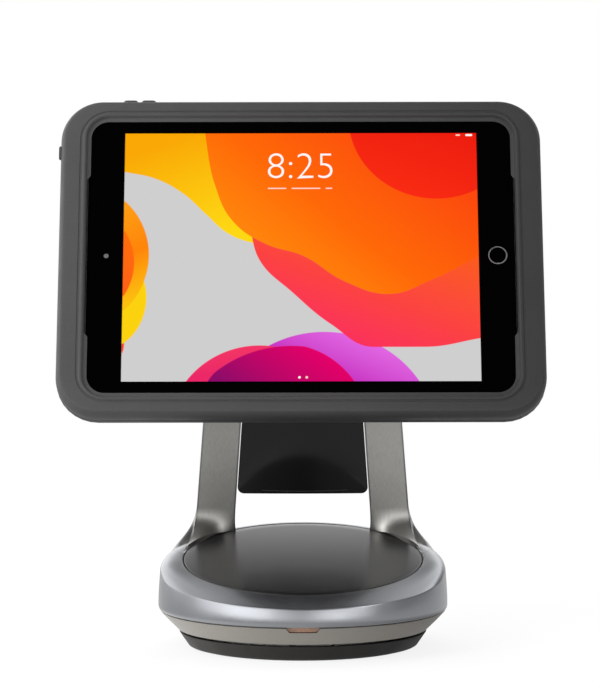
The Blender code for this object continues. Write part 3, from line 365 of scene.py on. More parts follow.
case_rubber = moulded("case_rubber", linear(66, 66, 67), 0.50, 0.62, grain=1700,
                      depth=0.00004, spread=0.06, Specular_IOR_Level=0.35)
# Painted light and shade: the case, its back shell and keys are lighter on the left and darker on
# the right.
case_rubber.painted_side_light(-0.14, 0.14, 1.10, 0.46)
ring_silver = painted_metal("ring_silver", linear(150, 152, 156), 0.22, 0.27)
skirt_silver = painted_metal("skirt_silver", linear(158, 154, 147), 0.36, 0.44)
arm_silver = painted_metal("arm_silver", linear(150, 150, 150), 0.32, 0.40)
face_silver = brushed_metal("face_silver", linear(168, 167, 163), 0.40, 0.48)
# Painted reflection: the right arm's face is lighter than the left one, for the brighter room it
# mirrors.
face_silver.painted_side_light(-0.05, 0.05, 0.98, 1.32)
foot_dark = moulded("foot_dark", linear(38, 36, 34), 0.46, 0.58, Specular_IOR_Level=0.22)
# Painted light and shade: the foot is lighter on the left and darker on the right.
foot_dark.painted_side_light(-0.08, 0.08, 1.3, 0.4)
disc_satin = moulded("disc_satin", linear(17, 17, 18), 0.235, 0.255, grain=1100,
                     depth=0.000004, spread=0.03)
neck_gloss = gloss_black("neck_gloss", linear(9, 9, 9), 0.06, 0.11, Specular_IOR_Level=0.30)
glass_black = gloss_black("glass_black", linear(2, 2, 2), 0.02, 0.04, Specular_IOR_Level=0.25)
# Painted highlight: this light grey stands for the highlight along the thin line at the neck
# panel's hem.
hem_line_painted_highlight = moulded("hem_line_painted_highlight", linear(58, 58, 60), 0.35, 0.45)
black_plastic = moulded("black_plastic", linear(34, 34, 35), 0.42, 0.55)
steel = brushed_metal("steel", linear(190, 190, 192), 0.25, 0.38, stretch=(300, 300, 300))
cast_metal = painted_metal("cast_metal", linear(120, 121, 123), 0.45, 0.58, flake=900)
aluminium = brushed_metal("tablet_aluminium", linear(196, 197, 200), 0.32, 0.42,
                          stretch=(900, 30, 900))
white_plastic = moulded("white_plastic", linear(214, 211, 200), 0.40, 0.55, spread=0.03)
pad_rubber = moulded("pad_rubber", linear(40, 40, 40), 0.75, 0.90, grain=900, depth=0.00008)
foam = moulded("foam", linear(48, 48, 50), 0.85, 0.98, grain=500, depth=0.0002)
board_green = moulded("board_green", linear(40, 92, 58), 0.35, 0.50, grain=600)
battery_wrap = moulded("battery_wrap", linear(70, 70, 74), 0.35, 0.55, grain=700)
# Painted glint: the lenses' grey is much lighter than dark glass and stands in for a glint on them.
lens_painted_glint = gloss_black("lens_painted_glint", linear(96, 96, 100), 0.10, 0.20)
home_ring_metal = brushed_metal("home_ring_metal", linear(176, 176, 180), 0.40, 0.50,
                                stretch=(700, 700, 700))


AMBER_STRENGTH = 0.14
SHAPE_EDGE = 0.0015


def amber_look():
    """The dim amber lens in the slot: brighter towards its middle."""
    look = Look("amber_light", Roughness=0.35)
    grain = look.noise(900, 2, 0.5)
    look.colour(look.patched(grain, linear(136, 114, 98), linear(164, 138, 120)))
    lit = look.span(look.maths("ABSOLUTE", look.dot(ACROSS)), 0.0015, 0.0095, 1.0, 0.35)
    look.glow(linear(206, 128, 84), look.times(lit, AMBER_STRENGTH))
    look.bump((grain, 0.00003, 0.3))
    return look


def screen_look():
    """The display: an abstract picture of flowing shapes, lit from behind."""
    look = Look("screen_picture", Roughness=0.06, Specular_IOR_Level=0.3)
    look.colour(BLACK)
    up = TABLET_FRAME.to_3x3() @ Vector((0, 0, 1))
    start = up.dot(TABLET_FRAME.translation)
    half_width, half_height = DISPLAY_WIDTH / 2, DISPLAY_HEIGHT / 2
    u = look.span(look.dot(ACROSS), -half_width, half_width)
    v = look.span(look.dot(up), start - half_height, start + half_height)

    def line(points):
        """A smooth curve v = f(u) through points from 0 to 1."""
        node = look.tree.nodes.new("ShaderNodeFloatCurve")
        curve = node.mapping.curves[0]
        while len(curve.points) < len(points):
            curve.points.new(0.5, 0.5)
        for point, place in zip(curve.points, points):
            point.location = place
            point.handle_type = "AUTO_CLAMPED"
        node.mapping.use_clip = False
        node.mapping.update()
        look.feed(node.inputs["Value"], u)
        return node.outputs[0]

    def above(*points):
        return look.span(look.minus(v, line(points)), -SHAPE_EDGE, SHAPE_EDGE)

    def circle(x, y, radius, squeeze=1.0):
        across = look.times(look.minus(u, x), DISPLAY_WIDTH / DISPLAY_HEIGHT)
        rise = look.maths("DIVIDE", look.minus(v, y), squeeze)
        away = look.minus(look.hypotenuse(across, rise), radius)
        return look.span(away, SHAPE_EDGE, -SHAPE_EDGE)

    def fade(x, y, low, high, *colours):
        """Colours at even steps along the direction (x, y), from low to high."""
        along = look.span(look.plus(look.times(u, x), look.times(v, y)), low, high)
        last = len(colours) - 1
        return look.ramp(along, [(k / last, linear(*tone)) for k, tone in enumerate(colours)])

    violet = fade(0.6, 1.0, 0.36, 0.62, (196, 40, 190), (232, 112, 236))
    hill = fade(0.2, -1.0, -0.20, 0.02, (252, 70, 96), (236, 40, 104))
    plum = fade(0.9, 0.9, 0.25, 0.62, (140, 12, 104), (232, 0, 104))
    yellow = fade(0.5, -1.0, -0.90, -0.45, (250, 168, 6), (254, 216, 20))
    orange = fade(0.9, 0.8, 0.62, 1.5, (255, 146, 14), (255, 104, 8), (252, 70, 14))
    deep = fade(0.5, 1.0, 1.1, 1.5, (250, 44, 20), (236, 28, 14))
    side = fade(-0.6, 1.0, 0.28, 0.72, (252, 196, 16), (255, 132, 10), (255, 160, 20))
    ember = fade(0.0, 1.0, 0.30, 0.62, (255, 92, 24), (255, 112, 8))
    red_share = look.span(look.plus(look.times(u, 0.55), look.times(v, 1.0)), 0.45, 1.05)
    red = look.ramp(red_share, [(0.0, linear(250, 44, 96)), (0.45, linear(252, 66, 66)),
                                (1.0, linear(252, 92, 26))])
    wave_yellow = above((0.0, 0.84), (0.08, 0.815), (0.16, 0.755), (0.23, 0.665), (0.29, 0.59),
                        (0.35, 0.555), (0.42, 0.54), (1.0, 0.5))
    wave_red = above((0.0, 1.4), (0.32, 1.1), (0.355, 0.60), (0.385, 0.47), (0.47, 0.355),
                     (0.58, 0.225), (0.70, 0.135), (0.84, 0.135), (1.0, 0.17))
    wave_orange = above((0.0, 1.6), (0.20, 1.15), (0.25, 0.80), (0.31, 0.63), (0.40, 0.545),
                        (0.50, 0.50), (0.62, 0.395), (0.74, 0.345), (0.86, 0.40), (1.0, 0.50))
    shapes = (
        (circle(0.56, -0.22, 0.415), violet),
        (circle(0.38, -0.20, 0.335, 1.02), hill),
        (look.times(circle(0.47, -0.30, 0.44), circle(0.44, -0.17, 0.32)), plum),
        (wave_yellow, yellow),
        (wave_red, red),
        (wave_orange, orange),
        (circle(0.88, 1.06, 0.33), deep),
        (circle(-0.09, 0.16, 0.125, 1.3), linear(248, 62, 40)),
        (circle(-0.06, 0.33, 0.165, 1.25), linear(252, 210, 16)),
        (circle(-0.13, 0.50, 0.265, 1.1), side),
        (circle(-0.16, 0.47, 0.25, 1.0), ember),
    )
    picture = linear(207, 207, 208)
    for share, tone in shapes:
        picture = look.mix(share, picture, tone)
    look.glow(picture, 1.0)
    return look


def bright_look(name, colour):
    """A lit mark on the display, with a trace of pixel grain."""
    look = Look(name, Roughness=0.3)
    look.colour(BLACK)
    look.glow(look.patched(look.noise(2500, 1, 0.5), toned(colour, 0.96), colour), 1.0)
    return look


CAD_LOOKS = (
    (steel, (
        "ballast_plate", "bearing_lower_race", "bearing_upper_race", "ball_cage", "stop_pin",
        "swivel_post", "friction_spring", "post_nut", "neck_beam", "neck_screw_left",
        "neck_screw_right", "tilt_axle", "axle_sleeve", "hub_retainer", "dock_screw_left",
        "dock_screw_right", "case_screw_1", "case_screw_2", "case_screw_3", "case_screw_4",
    )),
    (black_plastic, ("power_inlet", "neck_back_cover", "axle_cap_left", "axle_cap_right")),
    (white_plastic, ("post_bush", "hub_bearing", "friction_disc_left", "friction_disc_right")),
    (case_rubber, ("case_back_shell", "volume_up_button", "volume_down_button", "power_button")),
    (cast_metal, ("turntable_plate", "head_bracket")),
    (board_green, ("control_board", "tablet_board")),
    (glass_black, ("tablet_glass", "home_button")),
    (lens_painted_glint, ("front_camera", "rear_camera")),
    (amber_look(), ("status_light",)),
    (screen_look(), ("display_panel",)),
    (home_ring_metal, ("home_button_ring",)),
    (aluminium, ("tablet_back_shell",)),
    (battery_wrap, ("tablet_battery",)),
    (pad_rubber, ("rubber_pad",)),
    (foot_dark, ("dock_plate",)),
    (foam, ("foam_pad",)),
)
for look, node_names in CAD_LOOKS:
    for node_name in node_names:
        node = NODES[node_name]
        if not node.material_slots:
            node.data.materials.append(None)
        for one_slot in node.material_slots:
            one_slot.material = look.material


# ---------------------------------------------------------------- mesh helpers


def piece(name, bm, body, look, replaces=(), angle=38.0, matrix=None):
    """A finished mesh as a piece that rides on a body."""
    bmesh.ops.recalc_face_normals(bm, faces=bm.faces)
    if matrix:
        bmesh.ops.transform(bm, matrix=matrix, verts=bm.verts)
    mesh = bpy.data.meshes.new(name)
    bm.to_mesh(mesh)
    bm.free()
    made = bpy.data.objects.new(name, mesh)
    bpy.context.scene.collection.objects.link(made)
    mesh.materials.append(look.material)
    mesh.shade_smooth()
    mesh.set_sharp_from_angle(angle=math.radians(angle))
    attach(made, body)
    if replaces:
        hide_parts(*replaces)
    return made


def grid_faces(bm, rows, closed_across=True, closed_along=False):
    """Four-sided faces between neighbouring rows of vertices."""
    pairs = list(zip(rows, rows[1:]))
    if closed_along:
        pairs.append((rows[-1], rows[0]))
    count = len(rows[0])
    for lower, upper in pairs:
        for k in range(count if closed_across else count - 1):
            after = (k + 1) % count
            bm.faces.new((lower[k], lower[after], upper[after], upper[k]))


def lofted(rings, closed_along=False):
    """A skin over closed rings, capped at both ends unless its last ring joins its first."""
    bm = bmesh.new()
    rows = [[bm.verts.new(point) for point in ring] for ring in rings]
    grid_faces(bm, rows, True, closed_along)
    if not closed_along:
        bm.faces.new(rows[0])
        bm.faces.new(rows[-1])
    return bm


def turned(profile):
    """A closed profile of (radius, height) spun about Z; points on the axis are merged."""
    rings = []
    for step in range(ROUND_STEPS):
        turn = 2 * math.pi * step / ROUND_STEPS
        rings.append([(r * math.cos(turn), r * math.sin(turn), z) for r, z in profile])
    on_axis = profile[0][0] == 0 and profile[-1][0] == 0
    bm = bmesh.new()
    rows = [[bm.verts.new(point) for point in ring] for ring in rings]
    grid_faces(bm, rows, not on_axis, True)
    if on_axis:
        bmesh.ops.remove_doubles(bm, verts=bm.verts, dist=0.000001)
    return bm


def arc(centre, radius, first, last, steps):
    """Points of an arc in the (radius, height) plane, angles in degrees."""
    made = []
    for k in range(steps + 1):
        turn = math.radians(first + (last - first) * k / steps)
        made.append((centre[0] + radius * math.cos(turn), centre[1] + radius * math.sin(turn)))
    return made


def cut_with(target, cutter_bm):
    """Cuts a closed shape out of a piece's mesh."""
    mesh = bpy.data.meshes.new("cutter")
    bmesh.ops.recalc_face_normals(cutter_bm, faces=cutter_bm.faces)
    cutter_bm.to_mesh(mesh)
    cutter_bm.free()
    cutter = bpy.data.objects.new("cutter", mesh)
    bpy.context.scene.collection.objects.link(cutter)
    step = target.modifiers.new("cut", "BOOLEAN")
    step.object = cutter
    step.operation = "DIFFERENCE"
    step.solver = "EXACT"
    bpy.context.view_layer.update()
    graph = bpy.context.evaluated_depsgraph_get()
    made = bpy.data.meshes.new_from_object(target.evaluated_get(graph))
    target.modifiers.clear()
    target.data = made
    bpy.data.objects.remove(cutter, do_unlink=True)


# ---------------------------------------------------------------- base


RIM_BLEND = 0.04
TOP_LAST = 0.975
BAND_FIRST = 0.018
BLEND_STEPS = 5
BAND_STEPS = 10
RIM_PULL = 0.0078
CREASE_PULL = 0.0066
FLAT_PULL = 0.0005
ROUND_FROM, ROUND_OVER = 0.80, 0.75


def deck_point(radius, azimuth, below=0.0):
    """A point on the disc's plane or below it."""
    return DECK_FRAME @ Vector((radius * math.cos(azimuth), radius * math.sin(azimuth), -below))


def crease_point(azimuth):
    x = CREASE_RADIUS * math.cos(azimuth)
    y = CREASE_RADIUS * math.sin(azimuth)
    return Vector((x, y, CREASE_HEIGHT + y * math.tan(CREASE_SLOPE)))


def raised(height):
    return Vector((0, 0, height))


def ease(value):
    """A smooth step from 0 to 1."""
    value = min(max(value, 0.0), 1.0)
    return value * value * (3 - 2 * value)


def ring_top(azimuth, share):
    """The ring's top from the disc's rim (share 0) to the crease (share 1)."""
    start = deck_point(DISC_RADIUS + DISC_SEAM, azimuth)
    end = crease_point(azimuth)
    outward = (deck_point(1.0, azimuth) - deck_point(0.0, azimuth)).normalized()
    roundness = ease((ROUND_FROM + math.sin(azimuth)) / ROUND_OVER)
    flat_one, flat_two = [start.lerp(end, third / 3) + raised(FLAT_PULL) for third in (1, 2)]
    one = flat_one.lerp(start + outward * RIM_PULL, roundness)
    two = flat_two.lerp(end + raised(CREASE_PULL), roundness)
    rest = 1 - share
    return start * rest**3 + one * 3 * rest**2 * share + two * 3 * rest * share**2 + end * share**3


def ring_section(azimuth):
    """The ring's closed section at one azimuth: its outside from the disc down, then its inside."""
    across = Vector((math.cos(azimuth), math.sin(azimuth), 0))

    def level(radius, height):
        return across * radius + raised(height)

    def band(share):
        height = crease.z + (BAND_WIDEST_Z - crease.z) * share
        widening = (BAND_RADIUS - CREASE_RADIUS) * math.sin(share * math.pi / 2)
        return level(CREASE_RADIUS + widening, height)

    crease = crease_point(azimuth)
    outer = [deck_point(DISC_RADIUS + DISC_SEAM, azimuth, 0.0004)]
    rim = ring_top(azimuth, 0)
    outer.append(rim.lerp(ring_top(azimuth, RIM_BLEND), 0.5) - raised(0.00005))
    top_step = (TOP_LAST - RIM_BLEND) / TOP_STEPS
    outer += [ring_top(azimuth, RIM_BLEND + top_step * k) for k in range(TOP_STEPS + 1)]
    start, end = ring_top(azimuth, TOP_LAST), band(BAND_FIRST)
    for k in range(1, BLEND_STEPS):
        t = k / BLEND_STEPS
        outer.append(start.lerp(crease, t).lerp(crease.lerp(end, t), t))
    band_step = (1 - BAND_FIRST) / BAND_STEPS
    outer += [band(BAND_FIRST + band_step * k) for k in range(BAND_STEPS + 1)]
    under = BAND_BOTTOM_Z + GAP
    outer.append(level(BAND_RADIUS - 0.00015, BAND_WIDEST_Z - 0.0009))
    outer.append(level(BAND_RADIUS - 0.00045, BAND_WIDEST_Z - 0.0018))
    outer.append(level(BAND_BOTTOM_RADIUS - 0.0001, under + 0.00025))
    outer.append(level(BAND_BOTTOM_RADIUS - 0.0005, under))
    inside = BAND_BOTTOM_RADIUS - RING_WALL
    middle = ring_top(azimuth, 0.5)
    inner = [
        level(inside, under),
        level(inside, crease.z - 0.0016),
        middle - raised(RING_WALL) - across * 0.0012,
        deck_point(DISC_RADIUS - SEAT_WIDTH, azimuth, DISC_THICKNESS + GAP + RING_WALL),
        deck_point(DISC_RADIUS - SEAT_WIDTH, azimuth, DISC_THICKNESS + GAP),
        deck_point(DISC_RADIUS + DISC_SEAM, azimuth, DISC_THICKNESS + GAP),
    ]
    return outer + inner


def make_base():
    sections = [ring_section(2 * math.pi * step / ROUND_STEPS) for step in range(ROUND_STEPS)]
    bm = lofted(sections, closed_along=True)
    piece("ring_body", bm, "turret", ring_silver, ["ring_shell"], 30)

    rim = arc((DISC_RADIUS - DISC_EDGE, -DISC_EDGE), DISC_EDGE, 90, 0, 6)
    shares = [k / CROWN_STEPS for k in range(CROWN_STEPS)]
    crown = [(DISC_RADIUS * share, DISC_CROWN * (1 - share**2)) for share in shares]
    disc = crown + rim + [(DISC_RADIUS, -DISC_THICKNESS), (0, -DISC_THICKNESS)]
    piece("deck_disc", turned(disc), "turret", disc_satin, ["disc_cover"], 50, DECK_FRAME)

    top = BAND_BOTTOM_RADIUS - 0.0004
    skirt = [
        (top - SKIRT_WALL - 0.0012, BAND_BOTTOM_Z),
        (top - 0.0004, BAND_BOTTOM_Z),
        (top, BAND_BOTTOM_Z - 0.0004),
        ((top + SKIRT_BOTTOM_RADIUS) / 2 + 0.00015, (BAND_BOTTOM_Z + SKIRT_BOTTOM_Z) / 2),
        (SKIRT_BOTTOM_RADIUS + 0.0002, SKIRT_BOTTOM_Z + 0.0006),
        (SKIRT_BOTTOM_RADIUS - 0.0001, SKIRT_BOTTOM_Z + 0.0002),
        (SKIRT_BOTTOM_RADIUS - 0.0005, SKIRT_BOTTOM_Z),
        (SKIRT_BOTTOM_RADIUS - SKIRT_WALL, SKIRT_BOTTOM_Z),
        (SKIRT_BOTTOM_RADIUS - SKIRT_WALL, SKIRT_BOTTOM_Z + 0.0010),
        (TURNTABLE_RADIUS + GAP, TURNTABLE_Z - 0.0010),
        (TURNTABLE_RADIUS + GAP, TURNTABLE_Z + TURNTABLE_THICKNESS),
    ]
    skirt_piece = piece("skirt_cone", turned(skirt), "turret", skirt_silver, ["lower_skirt"], 30)
    front, back = -(BAND_BOTTOM_RADIUS + 0.002), -(TURNTABLE_RADIUS - 0.001)
    low, high = BAND_BOTTOM_Z - SLOT_HEIGHT, BAND_BOTTOM_Z + 0.001
    half_low, half_top = SLOT_BOTTOM_WIDTH / 2, SLOT_TOP_WIDTH / 2
    slot = ((-half_low, low), (half_low, low), (half_top, high), (-half_top, high))
    cut_with(skirt_piece, lofted([[(x, depth, z) for x, z in slot] for depth in (front, back)]))

    inner_top = FOOT_TOP_RADIUS - FOOT_WALL
    foot = [
        (inner_top, FOOT_TOP_Z),
        (FOOT_TOP_RADIUS - 0.0006, FOOT_TOP_Z),
        (FOOT_TOP_RADIUS - 0.0001, FOOT_TOP_Z - 0.0002),
        (FOOT_TOP_RADIUS, FOOT_TOP_Z - 0.0006),
        (FOOT_BOTTOM_RADIUS + 0.0010, FOOT_BOTTOM_Z + 0.0014),
        (FOOT_BOTTOM_RADIUS + 0.0003, FOOT_BOTTOM_Z + 0.0004),
        (FOOT_BOTTOM_RADIUS - 0.0004, FOOT_BOTTOM_Z),
        (PAD_RADIUS + GAP, FOOT_BOTTOM_Z),
        (PAD_RADIUS + GAP, FOOT_FLOOR_Z),
        (FOOT_HOLE_RADIUS, FOOT_FLOOR_Z),
        (FOOT_HOLE_RADIUS, FOOT_FLOOR_TOP_Z),
        (PAD_RADIUS - 0.0001, FOOT_FLOOR_TOP_Z),
    ]
    foot_piece = piece("foot_cup", turned(foot), "foot", foot_dark, ["foot_shell"], 30)
    inlet_low, inlet_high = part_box("power_inlet")
    block = bmesh.new()
    bmesh.ops.create_cube(block, size=1.0)
    reach = Vector((GAP, 0.004, GAP))
    bmesh.ops.scale(block, vec=inlet_high - inlet_low + 2 * reach, verts=block.verts)
    bmesh.ops.translate(block, vec=(inlet_low + inlet_high) / 2, verts=block.verts)
    cut_with(foot_piece, block)


# ---------------------------------------------------------------- arms and neck


def arm_inner(height):
    return ARM_INNER_AT_PIVOT - height * ARM_INNER_SPREAD


def arm_outer(height):
    return ARM_OUTER_AT_PIVOT - height * ARM_OUTER_SPREAD


ARM_ACROSS = 28
ARM_SIDE = 9
ARM_FLAT_SIDE = 0.72
ARM_BACK_ROUND = 0.0022


def arm_outline(height, half_thickness):
    """The left arm's section: front face, outer side, back, inner side, at even shares of each."""
    inner, outer = -arm_inner(height), -arm_outer(height)
    round_off = min(ARM_BACK_ROUND, half_thickness * 0.6)
    shares = [j / ARM_ACROSS for j in range(ARM_ACROSS + 1)]
    front = [(inner + (outer - inner) * s, -half_thickness) for s in shares]
    back_inner, back_outer = inner - round_off, outer + round_off
    back = [(back_inner + (back_outer - back_inner) * s, half_thickness) for s in shares]
    sides = {}
    for edge, way in ((outer, 1), (inner, -1)):
        points = []
        for k in range(1, ARM_SIDE + 1):
            share = k / (ARM_SIDE + 1)
            if share < ARM_FLAT_SIDE:
                flat = (2 * half_thickness - round_off) * share / ARM_FLAT_SIDE
                points.append((edge, -half_thickness + flat))
            else:
                turn = (share - ARM_FLAT_SIDE) / (1 - ARM_FLAT_SIDE) * math.pi / 2
                x = edge + way * round_off * (1 - math.cos(turn))
                points.append((x, half_thickness - round_off + round_off * math.sin(turn)))
        sides[way] = points
    outline = front + sides[1] + back[::-1] + sides[-1][::-1]
    return [NECK_FRAME @ Vector((x, y, height)) for x, y in outline]


def foot_outline():
    """The left arm's foot on the ring as (azimuth, share of the top), in its section's order."""
    shares = [j / ARM_ACROSS for j in range(ARM_ACROSS + 1)]
    sides = [k / (ARM_SIDE + 1) for k in range(1, ARM_SIDE + 1)]
    walk = [(ARM_FIRST + (ARM_TIP - ARM_FIRST) * j, 0.0) for j in shares]
    walk += [(ARM_TIP + (ARM_LAST - ARM_TIP) * k, ARM_DEEPEST_SHARE * k) for k in sides]
    walk += [(ARM_LAST + (ARM_FIRST - ARM_LAST) * j, ARM_DEEPEST_SHARE) for j in shares]
    walk += [(ARM_FIRST, ARM_DEEPEST_SHARE * (1 - k)) for k in sides]
    return walk


def hermite(start, start_pull, end, end_pull, t):
    """A point on the curve between two places, each with the pull that the curve leaves it by."""
    return (start * (2 * t**3 - 3 * t**2 + 1) + start_pull * (t**3 - 2 * t**2 + t)
            + end * (3 * t**2 - 2 * t**3) + end_pull * (t**3 - t**2))


ARM_KNEE_RISE = 0.0030
ARM_SHOULDER_PULL = 0.026
FLARE_STEPS = 40
STRAIGHT_STEPS = 10
ROUND_TOP = (15, 30, 45, 60, 72, 80, 86)
PLATE_FIRST_LEVEL = 2


def arm_flare(azimuth, share, top, along):
    """The line of one of the arm's points from its foot on the ring up to the straight part."""
    foot = ring_top(azimuth, share) + raised(0.00005)
    drop = (top.z - foot.z - ARM_KNEE_RISE) / along.z
    knee = top - along * drop
    further, nearer = ring_top(azimuth, share + 0.02), ring_top(azimuth, max(share - 0.02, 0))
    shoulder = (nearer - further).normalized()
    behind = ease(share / ARM_DEEPEST_SHARE)
    first_pull = (2 * (knee - foot)).lerp(shoulder * ARM_SHOULDER_PULL, behind)
    return lambda t: hermite(foot, first_pull, top, along * 2 * drop, t)


def arm_levels():
    """Sections of the left arm from its foot on the ring to its round top."""
    top = arm_outline(ARM_STRAIGHT_FROM, ARM_HALF_THICKNESS)
    above = arm_outline(ARM_STRAIGHT_FROM + 0.001, ARM_HALF_THICKNESS)
    lines = [
        arm_flare(azimuth, share, point, (after - point).normalized())
        for (azimuth, share), point, after in zip(foot_outline(), top, above)
    ]
    levels = [[line(step / FLARE_STEPS) for line in lines] for step in range(FLARE_STEPS)]
    for step in range(STRAIGHT_STEPS + 1):
        height = ARM_STRAIGHT_FROM * (1 - step / STRAIGHT_STEPS)
        levels.append(arm_outline(height, ARM_HALF_THICKNESS))
    for turn in ROUND_TOP:
        turn = math.radians(turn)
        height, half = ARM_HALF_THICKNESS * math.sin(turn), ARM_HALF_THICKNESS * math.cos(turn)
        levels.append(arm_outline(height, half))
    return levels


def make_arm(levels, side, label):
    """One arm and the cover on its front, which starts a little above the arm's foot."""
    bm = lofted([[(side * p.x, p.y, p.z) for p in level] for level in levels])
    piece(f"arm_shell_{label}", bm, "turret", arm_silver, [f"arm_{label}"], 48)

    grid = []
    for level in levels[PLATE_FIRST_LEVEL : -len(ROUND_TOP)]:
        row = level[: ARM_ACROSS + 1]
        start = row[0] + (row[1] - row[0]).normalized() * ARM_FACE_INSET
        end = row[-1] + (row[-2] - row[-1]).normalized() * ARM_FACE_INSET
        grid.append([start] + row[1:-1] + [end])
    bm = bmesh.new()
    rows = []
    last_row = len(grid) - 1
    for i, row in enumerate(grid):
        base, face = [], []
        for j, point in enumerate(row):
            upward = grid[min(i + 1, last_row)][j] - grid[max(i - 1, 0)][j]
            sideways = row[min(j + 1, ARM_ACROSS)] - row[max(j - 1, 0)]
            normal = upward.cross(sideways).normalized()
            if normal.y > 0:
                normal.negate()
            base.append(point + normal * GAP)
            face.append(point + normal * (GAP + ARM_FACE_THICKNESS))
        rows.append([bm.verts.new((side * p.x, p.y, p.z)) for p in base + face[::-1]])
    grid_faces(bm, rows, True)
    bm.faces.new(rows[0])
    bm.faces.new(rows[-1])
    made = piece(f"arm_plate_{label}", bm, "turret", face_silver, [f"arm_face_{label}"], 40)
    rounded_edges(made, 0.00035)


def rounded_edges(made, width, segments=2):
    """Softens a piece's sharp edges."""
    step = made.modifiers.new("edges", "BEVEL")
    step.width = width
    step.segments = segments
    step.limit_method = "ANGLE"
    step.angle_limit = math.radians(50)
    step.harden_normals = True


def neck_front(x, height, full):
    """How far the neck panel's inner face stands ahead of the neck's middle."""
    bulge = (full**2 - x**2) / (2 * NECK_BULGE_RADIUS)
    return NECK_AHEAD + bulge + (height - NECK_MIDDLE) * NECK_EXTRA_LEAN


NECK_COLUMNS = 48
NECK_SIDE_GAP = 0.0004
SEAM_RISE = 0.0032
SEAM_FROM, SEAM_TO = -0.0245, 0.0270
SEAM_SECTION = (
    (-0.0002, -0.00015), (0.00012, -0.0001), (0.00012, 0.0001), (-0.0002, 0.00015),
)


def make_neck():
    """The glossy panel between the arms, and a thin raised line near its hem whose light grey is a
    painted highlight.
    """
    drops = [NECK_CORNER * (1 - math.cos(math.radians(a))) for a in range(0, 91, 9)]
    heights = [NECK_BOTTOM + drop for drop in drops]
    heights += [heights[-1] + (NECK_TOP - heights[-1]) * k / 24 for k in range(1, 25)]
    columns = NECK_COLUMNS
    bm = bmesh.new()
    rows = []
    for height in heights:
        full = arm_inner(height) - NECK_SIDE_GAP
        drop = min(height - NECK_BOTTOM, NECK_CORNER)
        half = full - NECK_CORNER + math.sqrt(NECK_CORNER**2 - (NECK_CORNER - drop) ** 2)
        back, front = [], []
        for j in range(columns + 1):
            x = half * (2 * j / columns - 1)
            bulge = (full**2 - x**2) / (2 * NECK_BULGE_RADIUS)
            ahead = neck_front(x, height, full)
            lift = NECK_HEM_LIFT * bulge * (1 - ease((height - NECK_BOTTOM) / NECK_HEM_REACH))
            back.append(NECK_FRAME @ Vector((x, -ahead, height + lift)))
            front.append(NECK_FRAME @ Vector((x, -(ahead + NECK_SHEET), height + lift)))
        rows.append([bm.verts.new(p) for p in back + front[::-1]])
    grid_faces(bm, rows, True)
    bm.faces.new(rows[0])
    bm.faces.new(rows[-1])
    made = piece("neck_panel", bm, "turret", neck_gloss, ["neck_cover"], 40)
    rounded_edges(made, 0.0006, 3)

    height = NECK_BOTTOM + SEAM_RISE
    full = arm_inner(height) - NECK_SIDE_GAP
    rings = []
    for k in range(columns + 1):
        x = SEAM_FROM + (SEAM_TO - SEAM_FROM) * k / columns
        front = neck_front(x, height, full) + NECK_SHEET
        rings.append([NECK_FRAME @ Vector((x, -(front + out), height + rise))
                      for out, rise in SEAM_SECTION])
    # The raised line's light grey is a painted highlight along the hem.
    piece("neck_seam", lofted(rings), "turret", hem_line_painted_highlight, angle=40)


# ---------------------------------------------------------------- case


def case_outline(half_width, half_height, radius, depth, notch):
    """A rounded rectangle seen from the front, its short sides let back by notch in the middle."""
    points = []
    sides = (((1, 1), 0), ((-1, 1), 1), ((-1, -1), 2), ((1, -1), 3))
    for (side_x, side_z), quarter in sides:
        centre_x, centre_z = side_x * (half_width - radius), side_z * (half_height - radius)
        for step in range(CORNER_STEPS + 1):
            turn = math.pi / 2 * (quarter + step / CORNER_STEPS)
            points.append((centre_x + radius * math.cos(turn), centre_z + radius * math.sin(turn)))
        start = Vector(points[-1])
        if quarter % 2 == 0:
            steps, end = LONG_SIDE_STEPS, Vector((-start.x, start.y))
        else:
            steps, end = SHORT_SIDE_STEPS, Vector((start.x, -start.y))
        points += [tuple(start.lerp(end, k / steps)) for k in range(1, steps)]
    made = []
    for x, z in points:
        if notch and abs(x) > half_width - radius:
            middle = 1 - ease((abs(z) - NOTCH_HALF + NOTCH_EASE) / NOTCH_EASE)
            x += math.copysign(notch * middle, x)
        made.append(TABLET_FRAME @ Vector((x, depth, z)))
    return made


CASE_RIM = (
    (0, 0.0036), (0.0002, 0.0020), (0.0007, 0.0004), (0.0014, -0.0010), (0.0020, -0.0019),
    (0.0023, -0.0022), (0.0027, -0.0024), (0.0033, -0.0025), (0.0050, -0.0025),
)
NOTCH_HALF = 0.0505
NOTCH_EASE = 0.0022
KEY_HOLE_SPARE = 0.0030
CORNER_STEPS, LONG_SIDE_STEPS, SHORT_SIDE_STEPS = 20, 24, 56
CASE_GROOVE_AND_BEAD = (
    (0.0066, 0.0064, 0.0182, 0), (0.0061, 0.0060, 0.0177, 0.0005),
    (0.0054, 0.0053, 0.0168, 0.0005), (0.0049, 0.0049, 0.0161, 0),
    (0.0045, 0.0046, 0.0156, -0.00025), (0.0040, 0.0042, 0.0151, -0.0005),
    (0.0035, 0.0038, 0.0145, -0.0005), (0.0030, 0.0033, 0.0138, -0.0002),
    (0.0025, 0.0028, 0.0132, 0.0004),
)


